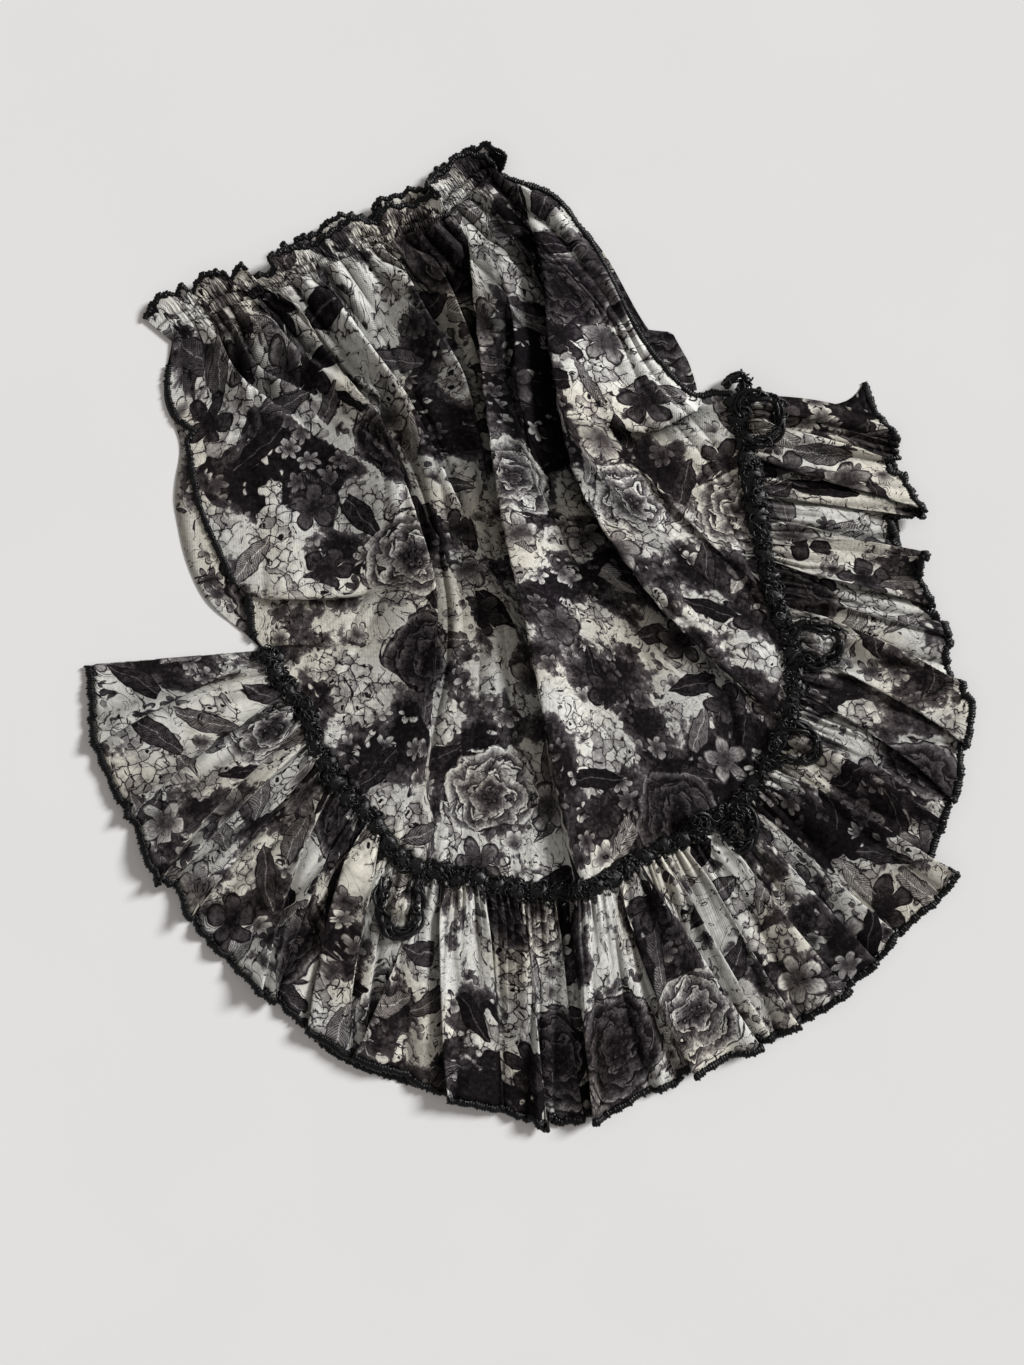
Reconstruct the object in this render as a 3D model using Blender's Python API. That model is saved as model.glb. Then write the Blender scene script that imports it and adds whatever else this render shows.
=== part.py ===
"""A midi skirt of printed mesh with a gathered flounce, laid flat.

The skirt lies with its waist towards +Y and its back on the surface z = 0.
Sizes and plan places are in millimetres, and the meshes are in metres.
Shares run from 0 to 1: across the skirt from its left side seam to its right
one, and down a piece from its waist edge to its lower edge.
"""
import math

import bmesh
import bpy

MM = 0.001
MIDDLE = (0.0, -9.4)        # plan place that becomes the origin, under the box's middle

# Driving dimensions
BACK_WALL = 1.5
FRONT_WALL = 2.0
LAYER_GAP = 0.3             # between the back pieces and the front ones on them
SEAM_GAP = 0.3              # between two pieces along a seam
WAIST_HEIGHT = 30           # casing and frill header
BACK_WAIST_HEIGHT = 38      # the back frill stands out above the front one
WAIST_RISE = 5
WAIST_EDGE_WIDTH = 3
SIDE_SEAM_WIDTH = 3
SIDE_SEAM_END = 0.98        # share of the side, just short of the trim
TRIM_HALF_WIDTH = 9
TRIM_WALL = 3
TRIM_CROWN = 5
HEM_EDGE_WIDTH = 5
FRONT_COLUMNS = 84          # samples along the seam of body and flounce
BACK_COLUMNS = 34
BODY_ROWS = 12
WAIST_GATHERS = 17
FLOUNCE_FOLD_REACH = 0.019  # share of the seam
FLOUNCE_GATHERS = 28
FLOUNCE_GATHER_RISE = 2.5
SIDE_PRESS_REACH = 0.05     # share of the width that the side seams hold down

# How unevenly the gathers are spread: pairs of shift and waves across.
WAIST_UNEVEN = ((0.012, 3.0),)
FLOUNCE_UNEVEN = ((0.007, 3.7), (0.004, 9.7))

# The front body's fold lines, from waist to foot. Each row gives where the
# line meets the foot, as a share of it, and its plan points at even stations.
STATIONS = ("waist", "hip", "high", "middle", "low", "foot")
RIBS = (
    (0.000, (-295, 244), (-297, 199), (-282, 160), (-271, 104), (-244, 41), (-215, -14)),
    (0.040, (-253, 260), (-238, 212), (-220, 161), (-209, 102), (-205, 28), (-197, -49)),
    (0.094, (-215, 274), (-184, 227), (-150, 178), (-121, 123), (-127, 27), (-173, -91)),
    (0.235, (-181, 291), (-146, 241), (-107, 174), (-80, 86), (-68, -19), (-100, -187)),
    (0.302, (-147, 306), (-108, 245), (-74, 174), (-49, 86), (-37, -32), (-45, -205)),
    (0.393, (-108, 321), (-58, 262), (-33, 186), (-20, 94), (3, -40), (32, -218)),
    (0.476, (-79, 331), (-20, 262), (-1, 178), (26, 86), (60, -32), (98, -190)),
    (0.596, (-58, 344), (16, 270), (25, 170), (70, 65), (148, -19), (186, -137)),
    (0.719, (-41, 357), (52, 279), (73, 178), (140, 94), (190, 27), (228, -40)),
    (0.825, (-28, 370), (64, 279), (106, 203), (152, 144), (180, 94), (205, 48)),
    (1.000, (-20, 384), (52, 333), (98, 249), (140, 201), (163, 200), (180, 198)),
)

# How far the back body shows beyond the front one, at the same stations.
BACK_SHOWS_LEFT = (0, 5, 7, 22, 28, 0)
BACK_SHOWS_RIGHT = (0, 12, 20, 4, 4, 0)

# The flounce's hem: share of the seam, plan place, and how far the back
# flounce's hem shows beyond it (less than 0 is hidden).
HEM = (
    (0.000, (-364, -28), -8),
    (0.040, (-349, -103), -8),
    (0.094, (-301, -193), -8),
    (0.140, (-259, -255), -8),
    (0.187, (-205, -301), 0),
    (0.235, (-146, -347), 10),
    (0.302, (-38, -393), -2),
    (0.393, (43, -408), -8),
    (0.476, (152, -358), -8),
    (0.556, (257, -305), -8),
    (0.637, (337, -204), -8),
    (0.719, (364, -74), -8),
    (0.825, (337, 31), -8),
    (0.883, (319, 81), -8),
    (0.942, (310, 136), 0),
    (1.000, (289, 199), 6),
)

# Folds of the front body: plan line, reach of its slope to the left and to
# the right (below and above, on a tuck), and height at start, middle and end.
FOLDS = {
    "flap": (((-112, 170), (-87, 111), (-74, 52), (-70, -60), (-76, -130)), 70, 14, (6, 15, 7)),
    "upper left": (((-200, 279), (-158, 222), (-112, 170), (-90, 118)), 24, 14, (4, 11, 9)),
    "left twin": (((-167, 287), (-127, 230), (-95, 186), (-58, 110)), 14, 12, (4, 9, 4)),
    "middle": (((-45, 311), (-27, 170), (3, -24), (37, -200)), 12, 45, (6, 17, 5)),
    "short": (((-16, 308), (-1, 254), (2, 203), (18, 153)), 14, 14, (4, 9, 2)),
    "long sweep": (((5, 350), (22, 237), (50, 107), (110, 24), (186, -57)), 14, 48, (6, 16, 6)),
    "sweep twin": (((41, 199), (56, 157), (98, 102), (150, 50)), 9, 14, (2, 6, 2)),
    "right tuck": (((63, 176), (102, 168), (140, 186), (165, 195)), 12, 16, (3, 9, 4)),
    "left tuck": (((-234, 29), (-188, 29), (-130, 34)), 9, 14, (4, 7, 3)),
    "left waist": (((-262, 255), (-238, 212), (-196, 178)), 18, 18, (4, 7, 2)),
    "middle waist": (((-108, 311), (-83, 266), (-52, 216), (-42, 185)), 12, 12, (4, 8, 2)),
    "right waist": (((-26, 372), (10, 330), (48, 290)), 16, 16, (4, 7, 2)),
}

# Folds of the front flounce: share of the seam where each starts, share of
# the hem where it ends, and its height.
FLOUNCE_FOLDS = (
    (0.039, 0.065, 5), (0.071, 0.093, 7), (0.107, 0.115, 7), (0.155, 0.178, 7), (0.203, 0.228, 8),
    (0.262, 0.243, 6), (0.278, 0.293, 7), (0.345, 0.363, 8), (0.400, 0.412, 7), (0.472, 0.500, 8),
    (0.516, 0.525, 6), (0.550, 0.560, 7), (0.630, 0.640, 8), (0.710, 0.680, 7), (0.790, 0.740, 8),
    (0.840, 0.820, 6), (0.877, 0.858, 7), (0.942, 0.915, 7), (0.985, 0.950, 5),
)

# Bunches of the trim: share of the seam, how much wider the trim is towards
# the body and towards the flounce, how much higher, and half its length.
TRIM_BUNCHES = (
    (0.225, 0, 18, 2, 0.040),
    (0.580, 1, 16, 5, 0.035),
    (0.660, 0, 12, 3, 0.030),
    (0.755, 1, 12, 3, 0.030),
    (0.905, 3, 4, 3, 0.040),
    (0.970, 2, 14, 7, 0.035),
)


def blend(share):
    """A smooth step from 0 to 1."""
    share = min(max(share, 0.0), 1.0)
    return share * share * (3 - 2 * share)


def hump(offset, reach):
    """A round hump of height 1 that ends at its reach."""
    return 0.5 + 0.5 * math.cos(math.pi * min(abs(offset) / reach, 1.0))


def through(shares, values, share):
    """A smooth curve through values that are stated at rising shares."""
    last = len(shares) - 1
    index = 0
    while index < last - 1 and share > shares[index + 1]:
        index += 1

    def slope(at):
        low, high = max(at - 1, 0), min(at + 1, last)
        return (values[high] - values[low]) / (shares[high] - shares[low])

    span = shares[index + 1] - shares[index]
    t = (share - shares[index]) / span
    return ((2 * t**3 - 3 * t**2 + 1) * values[index] + (t**3 - 2 * t**2 + t) * span * slope(index)
            + (3 * t**2 - 2 * t**3) * values[index + 1] + (t**3 - t**2) * span * slope(index + 1))


def point_through(shares, points, share):
    """A smooth plan curve through points."""
    return tuple(through(shares, [point[axis] for point in points], share) for axis in (0, 1))


def even_shares(count):
    return [step / (count - 1) for step in range(count)]


def plan_of_body(across, down):
    """Where the ribs put a point of the front body."""
    stations = even_shares(len(STATIONS))
    along = [point_through(stations, rib[1:], down) for rib in RIBS]
    return point_through([rib[0] for rib in RIBS], along, across)


def seam_line(across):
    return plan_of_body(across, 1.0)


def outward(line, share, step=0.004):
    """The plan direction to the right of a line as it runs."""
    x0, y0 = line(max(share - step, 0.0))
    x1, y1 = line(min(share + step, 1.0))
    length = math.hypot(x1 - x0, y1 - y0)
    return (y1 - y0) / length, (x0 - x1) / length


def moved(point, direction, distance):
    return point[0] + direction[0] * distance, point[1] + direction[1] * distance


def bunched(across, column):
    """A column of the trim's bunches at a share of the seam."""
    return sum(row[column] * hump(across - row[0], row[4]) for row in TRIM_BUNCHES)


def trim_border(across, side, gap=0.0):
    """The front trim's border towards the body (side -1) or the flounce (side 1)."""
    extra = bunched(across, 1 if side < 0 else 2)
    return moved(seam_line(across), outward(seam_line, across), side * (TRIM_HALF_WIDTH + extra + gap))


def back_trim_border(across, side, gap=0.0):
    """The back trim lies straight, with no bunches."""
    return moved(seam_line(across), outward(seam_line, across), side * (TRIM_HALF_WIDTH + gap))


def distance_to_line(point, line):
    """Distance, side (1 is left, on a line that runs down) and share along a plan line."""
    best = (math.inf, 1, 0.0)
    total = len(line) - 1
    for index in range(total):
        (ax, ay), (bx, by) = line[index], line[index + 1]
        run_x, run_y = bx - ax, by - ay
        from_x, from_y = point[0] - ax, point[1] - ay
        t = (from_x * run_x + from_y * run_y) / (run_x**2 + run_y**2)
        t = min(max(t, 0.0), 1.0)
        gap = math.hypot(from_x - t * run_x, from_y - t * run_y)
        if gap < best[0]:
            side = 1 if run_x * from_y - run_y * from_x < 0 else -1
            best = (gap, side, (index + t) / total)
    return best


def smooth_line(points, count=13):
    shares = even_shares(len(points))
    return [point_through(shares, points, share) for share in even_shares(count)]


FOLD_LINES = {name: smooth_line(row[0]) for name, row in FOLDS.items()}


def fold_rise(point):
    """How high the folds lift the front body at a plan point."""
    rise = 0.0
    for name, (_, reach_left, reach_right, heights) in FOLDS.items():
        gap, side, share = distance_to_line(point, FOLD_LINES[name])
        reach = reach_left if side > 0 else reach_right
        if gap < reach:
            rise += through((0.0, 0.5, 1.0), heights, share) * hump(gap, reach)
    return rise


def gather(across, count, uneven):
    """Gathers across a piece, from 0 between them to 1 on them."""
    warped = across + sum(shift * math.sin(2 * math.pi * waves * across) for shift, waves in uneven)
    return 0.5 - 0.5 * math.cos(2 * math.pi * count * warped)


def waist_gather(across):
    return gather(across, WAIST_GATHERS, WAIST_UNEVEN)


def front_rest():
    return BACK_WALL + LAYER_GAP


def seam_rise(across):
    """How high the foot of the front body lies over its rest."""
    return fold_rise(seam_line(across))


def side_press(across):
    """0 on the side seams, where front and back are sewn, 1 away from them."""
    return blend(min(across, 1 - across) / SIDE_PRESS_REACH)


def clear_of_trim(point, across, down, border):
    """Draws a body point in, more the lower it is, so that the foot ends at the trim."""
    start, end = seam_line(across), border(across, -1, SEAM_GAP)
    return tuple(point[axis] + (end[axis] - start[axis]) * down**2 for axis in (0, 1))


def body_front(across, down):
    x, y = clear_of_trim(plan_of_body(across, down), across, down, trim_border)
    near_foot = down**4
    near_waist = 1 - blend(down / 0.3)
    rise = fold_rise((x, y)) * (1 - near_foot) * blend(down / 0.12)
    rise += seam_rise(across) * near_foot
    rise += WAIST_RISE * waist_gather(across) * near_waist
    return x, y, front_rest() + rise * side_press(across)


def body_back(across, down):
    x, y = plan_of_body(across, down)
    stations = even_shares(len(STATIONS))
    shows = (through(stations, BACK_SHOWS_LEFT, down) * (1 - blend(across / 0.2))
             + through(stations, BACK_SHOWS_RIGHT, down) * blend((across - 0.8) / 0.2))
    edge = round(across)
    aside = outward(lambda share: plan_of_body(edge, share), down)
    x, y = moved((x, y), aside, shows if edge == 0 else -shows)
    return *clear_of_trim((x, y), across, down, back_trim_border), 0.0


def waist_line(across):
    return plan_of_body(across, 0.0)


def waist_height(across, full):
    """The waist band is foreshortened at its right end."""
    return full * (1 - 0.4 * blend((across - 0.55) / 0.35))


def waist_up(across, distance):
    return moved(waist_line(across), outward(waist_line, across, 0.03), -distance)


def waist_front(across, down):
    reach = waist_height(across, WAIST_HEIGHT)
    x, y = waist_up(across, SEAM_GAP + (reach - SEAM_GAP) * (1 - down))
    rise = WAIST_RISE * waist_gather(across) * (0.4 + 0.6 * down)
    return x, y, front_rest() + rise * side_press(across)


def waist_back(across, down):
    reach = waist_height(across, BACK_WAIST_HEIGHT)
    x, y = waist_up(across, SEAM_GAP + (reach - SEAM_GAP) * (1 - down))
    return x, y, 0.0


def waist_edge_front(across, down):
    reach = waist_height(across, WAIST_HEIGHT) + SEAM_GAP
    x, y = waist_up(across, reach + WAIST_EDGE_WIDTH * (1 - down))
    return x, y, waist_front(across, 0.0)[2]


def waist_edge_back(across, down):
    reach = waist_height(across, BACK_WAIST_HEIGHT) + SEAM_GAP
    x, y = waist_up(across, reach + WAIST_EDGE_WIDTH * (1 - down))
    return x, y, 0.0


def side_point(edge, down):
    """A plan point on the straight runs that the body's rows leave along its side."""
    row = min(int(down * BODY_ROWS + 0.001), BODY_ROWS - 1)
    start, end = body_front(edge, row / BODY_ROWS), body_front(edge, (row + 1) / BODY_ROWS)
    t = down * BODY_ROWS - row
    return tuple(start[axis] + (end[axis] - start[axis]) * t for axis in (0, 1))


def side_seam(edge):
    """The place function of the overlocked seam beside a front body's side."""
    def line(along):
        return side_point(edge, along)

    def place(along, over):
        along = min(along, SIDE_SEAM_END)
        away = SEAM_GAP + SIDE_SEAM_WIDTH * over
        x, y = moved(line(along), outward(line, along, 0.01), away if edge == 0 else -away)
        return x, y, front_rest()
    return place


def trim(border, rest, rise):
    """The place function of a trim between its borders, at rest plus a rise."""
    def place(along, over):
        inner, outer = border(along, -1), border(along, 1)
        x, y = (inner[axis] + (outer[axis] - inner[axis]) * over for axis in (0, 1))
        return x, y, rest + rise(along) * side_press(along)
    return place


def hem_line(across):
    return point_through([row[0] for row in HEM], [row[1] for row in HEM], across)


def flounce_rise(across, down):
    """How high the flounce's own folds and gathers lift it."""
    rise = 0.0
    for at_seam, at_hem, height in FLOUNCE_FOLDS:
        crest = at_seam + (at_hem - at_seam) * down
        rise += height * hump(across - crest, FLOUNCE_FOLD_REACH)
    gathers = FLOUNCE_GATHER_RISE * gather(across, FLOUNCE_GATHERS, FLOUNCE_UNEVEN) * (1 - down)
    return rise * blend(down / 0.3) + gathers * blend(down / 0.1)


def flounce_front(across, down):
    start = trim_border(across, 1, SEAM_GAP)
    end = hem_line(across)
    x, y = (start[axis] + (end[axis] - start[axis]) * down for axis in (0, 1))
    rise = seam_rise(across) * (1 - down) + flounce_rise(across, down)
    return x, y, front_rest() + rise * side_press(across)


def flounce_back(across, down):
    start = back_trim_border(across, 1, SEAM_GAP)
    shows = through([row[0] for row in HEM], [row[2] for row in HEM], across)
    end = moved(hem_line(across), outward(hem_line, across), shows)
    x, y = (start[axis] + (end[axis] - start[axis]) * down for axis in (0, 1))
    return x, y, 0.0


def hem_edge(flounce):
    """The place function of the edging just beyond a flounce's hem."""
    def line(along):
        return flounce(along, 1.0)[:2]

    def place(along, over):
        away = SEAM_GAP + HEM_EDGE_WIDTH * over
        x, y = moved(line(along), outward(line, along), away)
        return x, y, flounce(along, 1.0)[2]
    return place


def material(name, colour, roughness):
    made = bpy.data.materials.new(name)
    made.use_nodes = True
    shader = made.node_tree.nodes["Principled BSDF"]
    shader.inputs["Base Color"].default_value = (*colour, 1.0)
    shader.inputs["Roughness"].default_value = roughness
    shader.inputs["Metallic"].default_value = 0.0
    return made


def layer(name, place, columns, rows, wall, finish):
    """A wall of cloth over the grid that a place function lays out."""
    mesh = bmesh.new()
    bmesh.ops.create_grid(mesh, x_segments=columns, y_segments=rows, size=0.5)
    walls = mesh.verts.layers.float.new("wall")
    for vertex in mesh.verts:
        across, down = vertex.co.x + 0.5, 0.5 - vertex.co.y
        x, y, z = place(across, down)
        vertex.co = ((x - MIDDLE[0]) * MM, (y - MIDDLE[1]) * MM, z * MM)
        vertex[walls] = (wall(across, down) if callable(wall) else wall) * MM
    made = bmesh.ops.extrude_face_region(mesh, geom=mesh.faces[:], use_keep_orig=True)
    for vertex in made["geom"]:
        if isinstance(vertex, bmesh.types.BMVert):
            vertex.co.z += vertex[walls]
    bmesh.ops.triangulate(mesh, faces=mesh.faces[:])
    bmesh.ops.recalc_face_normals(mesh, faces=mesh.faces[:])
    data = bpy.data.meshes.new(name)
    mesh.to_mesh(data)
    mesh.free()
    data.shade_smooth()
    data.set_sharp_from_angle(angle=math.radians(50))
    data.materials.append(finish)
    made_object = bpy.data.objects.new(name, data)
    bpy.context.collection.objects.link(made_object)
    return made_object


def trim_wall(along, over):
    """The trim is crowned, and higher at its bunches."""
    crown = 1 - (2 * over - 1) ** 2
    return TRIM_WALL + (TRIM_CROWN - TRIM_WALL + bunched(along, 3)) * crown


def build():
    for old in list(bpy.data.objects):
        bpy.data.objects.remove(old)
    print_cloth = material("printed mesh", (0.22, 0.21, 0.21), 0.85)
    black_thread = material("black overlock thread", (0.012, 0.012, 0.013), 0.6)
    black_trim = material("black ruched trim", (0.010, 0.010, 0.011), 0.7)
    layer("body_back", body_back, BACK_COLUMNS, 9, BACK_WALL, print_cloth)
    layer("body_front", body_front, FRONT_COLUMNS, BODY_ROWS, FRONT_WALL, print_cloth)
    layer("waist_back", waist_back, BACK_COLUMNS, 1, BACK_WALL, print_cloth)
    layer("waist_front", waist_front, FRONT_COLUMNS, 1, FRONT_WALL, print_cloth)
    layer("waist_edge_back", waist_edge_back, BACK_COLUMNS, 1, BACK_WALL, black_thread)
    layer("waist_edge_front", waist_edge_front, FRONT_COLUMNS, 1, FRONT_WALL, black_thread)
    layer("seam_left", side_seam(0), BODY_ROWS, 1, FRONT_WALL, black_thread)
    layer("seam_right", side_seam(1), BODY_ROWS, 1, FRONT_WALL, black_thread)
    layer("trim_back", trim(back_trim_border, 0.0, lambda along: 0.0), BACK_COLUMNS, 1, BACK_WALL, black_trim)
    layer("trim_front", trim(trim_border, front_rest(), seam_rise), FRONT_COLUMNS, 2, trim_wall, black_trim)
    layer("flounce_back", flounce_back, BACK_COLUMNS, 2, BACK_WALL, print_cloth)
    layer("flounce_front", flounce_front, FRONT_COLUMNS, 3, FRONT_WALL, print_cloth)
    layer("hem_edge_back", hem_edge(flounce_back), BACK_COLUMNS, 1, BACK_WALL, black_thread)
    layer("hem_edge_front", hem_edge(flounce_front), FRONT_COLUMNS, 1, FRONT_WALL, black_thread)


build()
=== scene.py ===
import math

import bmesh
import bpy
import numpy as np
from mathutils import Matrix, Vector


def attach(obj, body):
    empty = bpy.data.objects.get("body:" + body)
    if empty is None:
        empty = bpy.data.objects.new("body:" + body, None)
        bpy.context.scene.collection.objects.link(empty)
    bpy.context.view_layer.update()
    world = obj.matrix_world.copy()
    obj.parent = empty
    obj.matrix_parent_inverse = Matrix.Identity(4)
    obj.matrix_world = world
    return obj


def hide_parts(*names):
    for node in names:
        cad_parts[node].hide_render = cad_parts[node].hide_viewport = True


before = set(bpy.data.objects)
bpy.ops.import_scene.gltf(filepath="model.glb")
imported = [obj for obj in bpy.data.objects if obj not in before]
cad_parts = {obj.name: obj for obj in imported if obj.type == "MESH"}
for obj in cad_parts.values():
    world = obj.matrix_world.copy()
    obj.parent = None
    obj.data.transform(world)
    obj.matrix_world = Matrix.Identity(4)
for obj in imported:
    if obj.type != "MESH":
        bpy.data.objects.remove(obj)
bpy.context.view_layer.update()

# The plan is in millimetres, waist towards +Y, and meshes are in metres.
mm = 0.001
middle = (0.0, -9.4)        # plan place of the frame's origin
frontRest = 2.1             # where the front cloth lies on the back cloth
alongWaist = (0.88, 0.47)   # the waist's direction in the plan, towards the right

# The front body's fold lines from waist to foot: where each meets the foot, and its plan points.
stations = np.linspace(0.0, 1.0, 6)
ribs = (
    (0.000, (-295, 244), (-297, 199), (-282, 160), (-271, 104), (-244, 41), (-215, -14)),
    (0.040, (-253, 260), (-238, 212), (-220, 161), (-209, 102), (-205, 28), (-197, -49)),
    (0.094, (-215, 274), (-184, 227), (-150, 178), (-121, 123), (-127, 27), (-173, -91)),
    (0.235, (-181, 291), (-146, 241), (-107, 174), (-80, 86), (-68, -19), (-100, -187)),
    (0.302, (-147, 306), (-108, 245), (-74, 174), (-49, 86), (-37, -32), (-45, -205)),
    (0.393, (-108, 321), (-58, 262), (-33, 186), (-20, 94), (3, -40), (32, -218)),
    (0.476, (-79, 331), (-20, 262), (-1, 178), (26, 86), (60, -32), (98, -190)),
    (0.596, (-58, 344), (16, 270), (25, 170), (70, 65), (148, -19), (186, -137)),
    (0.719, (-41, 357), (52, 279), (73, 178), (140, 94), (190, 27), (228, -40)),
    (0.825, (-28, 370), (64, 279), (106, 203), (152, 144), (180, 94), (205, 48)),
    (1.000, (-20, 384), (52, 333), (98, 249), (140, 201), (163, 200), (180, 198)),
)
shoulder = {"out": 8, "down": 0.10}         # how the right side rounds out below the waist
backShowsLeft = (0, 5, 7, 22, 28, 0)        # how far the back shows beyond the front's sides
backShowsRight = (  # the same on the right, against the share down
    (0.0, 0), (0.2, 3), (0.3, 6), (0.40, 9), (0.435, 24), (0.52, 19), (0.585, 11), (0.61, 1), (1.0, 0))
leftEdge = (        # share down the left side, how far the front's edge stands to the right of its line
    (0.0, 0), (0.31, 0), (0.36, 10), (0.40, 0), (0.80, 0), (0.84, 7), (0.965, -9), (1.0, 0))

# The hem: share of the seam, plan place, how far the back hem shows beyond it.
hemRows = (
    (0.000, (-364, -28), -8), (0.040, (-349, -103), -8), (0.094, (-301, -193), -8),
    (0.140, (-259, -255), -8), (0.187, (-205, -301), 0), (0.235, (-146, -347), 10),
    (0.302, (-38, -390), -2), (0.393, (43, -402), -8), (0.476, (152, -358), -8),
    (0.556, (257, -305), -8), (0.637, (337, -204), -8), (0.719, (364, -74), -8),
    (0.825, (337, 31), -8), (0.883, (319, 81), -8), (0.942, (310, 136), 0), (1.000, (297, 182), 0),
)


def soft(share):                            # a smooth step from 0 to 1
    share = np.clip(share, 0.0, 1.0)
    return share * share * (3 - 2 * share)


def hump(offset, reach):                    # a round hump of height 1
    return 0.5 + 0.5 * np.cos(np.pi * np.minimum(np.abs(offset) / reach, 1.0))


def through(shares, values, share):
    # A smooth curve through values at rising shares. Values may differ from point to point.
    shares = np.asarray(shares, float)
    values = np.asarray(values, float)
    share = np.asarray(share, float)
    last = len(shares) - 1
    low = np.maximum(np.arange(last + 1) - 1, 0)
    high = np.minimum(np.arange(last + 1) + 1, last)
    spans = shares[high] - shares[low]
    slopes = (values[high] - values[low]) / (spans if values.ndim == 1 else spans[:, None])
    index = np.clip(np.searchsorted(shares, share, side="right") - 1, 0, last - 1)
    span = shares[index + 1] - shares[index]
    t = (share - shares[index]) / span
    if values.ndim == 1:
        start, end, slopeIn, slopeOut = values[index], values[index + 1], slopes[index], slopes[index + 1]
    else:
        point = np.arange(values.shape[1])
        start, end = values[index, point], values[index + 1, point]
        slopeIn, slopeOut = slopes[index, point], slopes[index + 1, point]
    return ((2 * t**3 - 3 * t**2 + 1) * start + (t**3 - 2 * t**2 + t) * span * slopeIn
            + (3 * t**2 - 2 * t**3) * end + (t**3 - t**2) * span * slopeOut)


def throughPoints(shares, points, share):   # the same through plan or space points, one result an axis
    return [through(shares, values, share) for values in zip(*points)]


def picked(rows, slot):
    return [row[slot] for row in rows]


def straight(pairs, share):                 # straight runs between (share, value) pairs
    return np.interp(share, *np.array(pairs).T)


def planOfBody(across, down):
    across, down = np.broadcast_arrays(np.asarray(across, float), np.asarray(down, float))
    shape = across.shape
    across, down = across.ravel(), down.ravel()
    shares = picked(ribs, 0)
    found = []
    for axis in (0, 1):
        along = np.array([through(stations, [point[axis] for point in rib[1:]], down) for rib in ribs])
        found.append(through(shares, along, across))
    bulge = shoulder["out"] * hump(down - shoulder["down"], shoulder["down"]) * soft((across - 0.6) / 0.4)
    return [(found[0] + 0.65 * bulge).reshape(shape), (found[1] + 0.75 * bulge).reshape(shape)]


def seamLine(across):
    return planOfBody(across, 1.0)


def waistLine(across):
    return planOfBody(across, 0.0)


def waistShare(across):                     # share along the waist of a share along the seam
    points = np.array(picked(ribs, 1), float)
    arc = np.concatenate(([0.0], np.cumsum(np.hypot(*np.diff(points, axis=0).T))))
    return np.interp(across, picked(ribs, 0), arc / arc[-1])


def acrossAtWaist(share):
    shares = np.linspace(0, 1, 401)
    return np.interp(share, waistShare(shares), shares)


def evenShare(across):
    return (across + waistShare(across)) / 2


def evenColumns(share):                     # columns shared out evenly over both the waist and the seam
    shares = np.linspace(0, 1, 401)
    return np.interp(share, evenShare(shares), shares)


def hemLine(across):
    return throughPoints(picked(hemRows, 0), picked(hemRows, 1), across)


def outward(line, share, step=0.004):       # unit plan direction to the right of a line as it runs
    x0, y0 = line(np.maximum(share - step, 0.0))
    x1, y1 = line(np.minimum(share + step, 1.0))
    length = np.hypot(x1 - x0, y1 - y0)
    return (y1 - y0) / length, (x0 - x1) / length


def rumple(x, y, size, seed, waves=9):      # a low, even crumple of about -1 to 1
    picks = np.random.default_rng(seed)
    total = 0.0
    for _ in range(waves):
        angle, phase = picks.uniform(0, 2 * np.pi, 2)
        length = size * picks.uniform(0.6, 1.6)
        total = total + np.sin((x * np.cos(angle) + y * np.sin(angle)) * 2 * np.pi / length + phase)
    return total / math.sqrt(waves)


def unevenRidges(across, count, seed, roundness=0.75, least=0.5):
    # Round ridges of uneven widths side by side: height from 0 to 1, and each point's ridge number.
    picks = np.random.default_rng(seed)
    edges = np.concatenate(([0.0], np.cumsum(picks.uniform(least, 2 - least, count))))
    edges /= edges[-1]
    number = np.clip(np.searchsorted(edges, across, side="right") - 1, 0, count - 1)
    place = np.clip((across - edges[number]) / (edges[number + 1] - edges[number]), 0.0, 1.0)
    return np.sin(np.pi * place) ** roundness, number


def smoothLine(points, count):
    shares = np.linspace(0, 1, len(points))
    return np.stack(throughPoints(shares, points, np.linspace(0, 1, count)), 1)


def besideLine(x, y, line, blur=3.0):
    # For each point: signed distance (more than 0 to the line's left as it runs), share along the
    # line, distance past its ends, and the unit direction to its left. Near segments are blended
    # over the blur's millimetres, so that nothing jumps where a bent line's inner sides meet.
    runs = np.diff(line, axis=0)
    lengths = np.hypot(runs[:, 0], runs[:, 1])
    last = len(runs) - 1
    gaps, rows = [], []
    for index in range(last + 1):
        fromX, fromY = x - line[index, 0], y - line[index, 1]
        tx, ty = runs[index] / lengths[index]
        t = (fromX * tx + fromY * ty) / lengths[index]
        clamped = np.clip(t, 0.0, 1.0)
        gap = np.hypot(fromX - clamped * runs[index, 0], fromY - clamped * runs[index, 1])
        toLeft = ty * -fromX + tx * fromY
        past = np.zeros(x.shape)
        if index == 0:
            past = np.where(t < 0, -t * lengths[index], past)
        if index == last:
            past = np.where(t > 1, (t - 1) * lengths[index], past)
        signed = -np.where(past > 0, toLeft, np.sign(toLeft) * gap)
        gaps.append(gap)
        share = (index + clamped) / (last + 1)
        rows.append((signed, share, past, np.full(x.shape, ty), np.full(x.shape, -tx)))
    gaps = np.array(gaps)
    weights = np.exp((gaps.min(0) - gaps) / blur)
    weights /= weights.sum(0)
    blended = [sum(weight * row[slot] for weight, row in zip(weights, rows)) for slot in range(5)]
    signed, share, past, leftX, leftY = blended
    length = np.hypot(leftX, leftY)
    return signed, share, past, leftX / length, leftY / length


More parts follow.
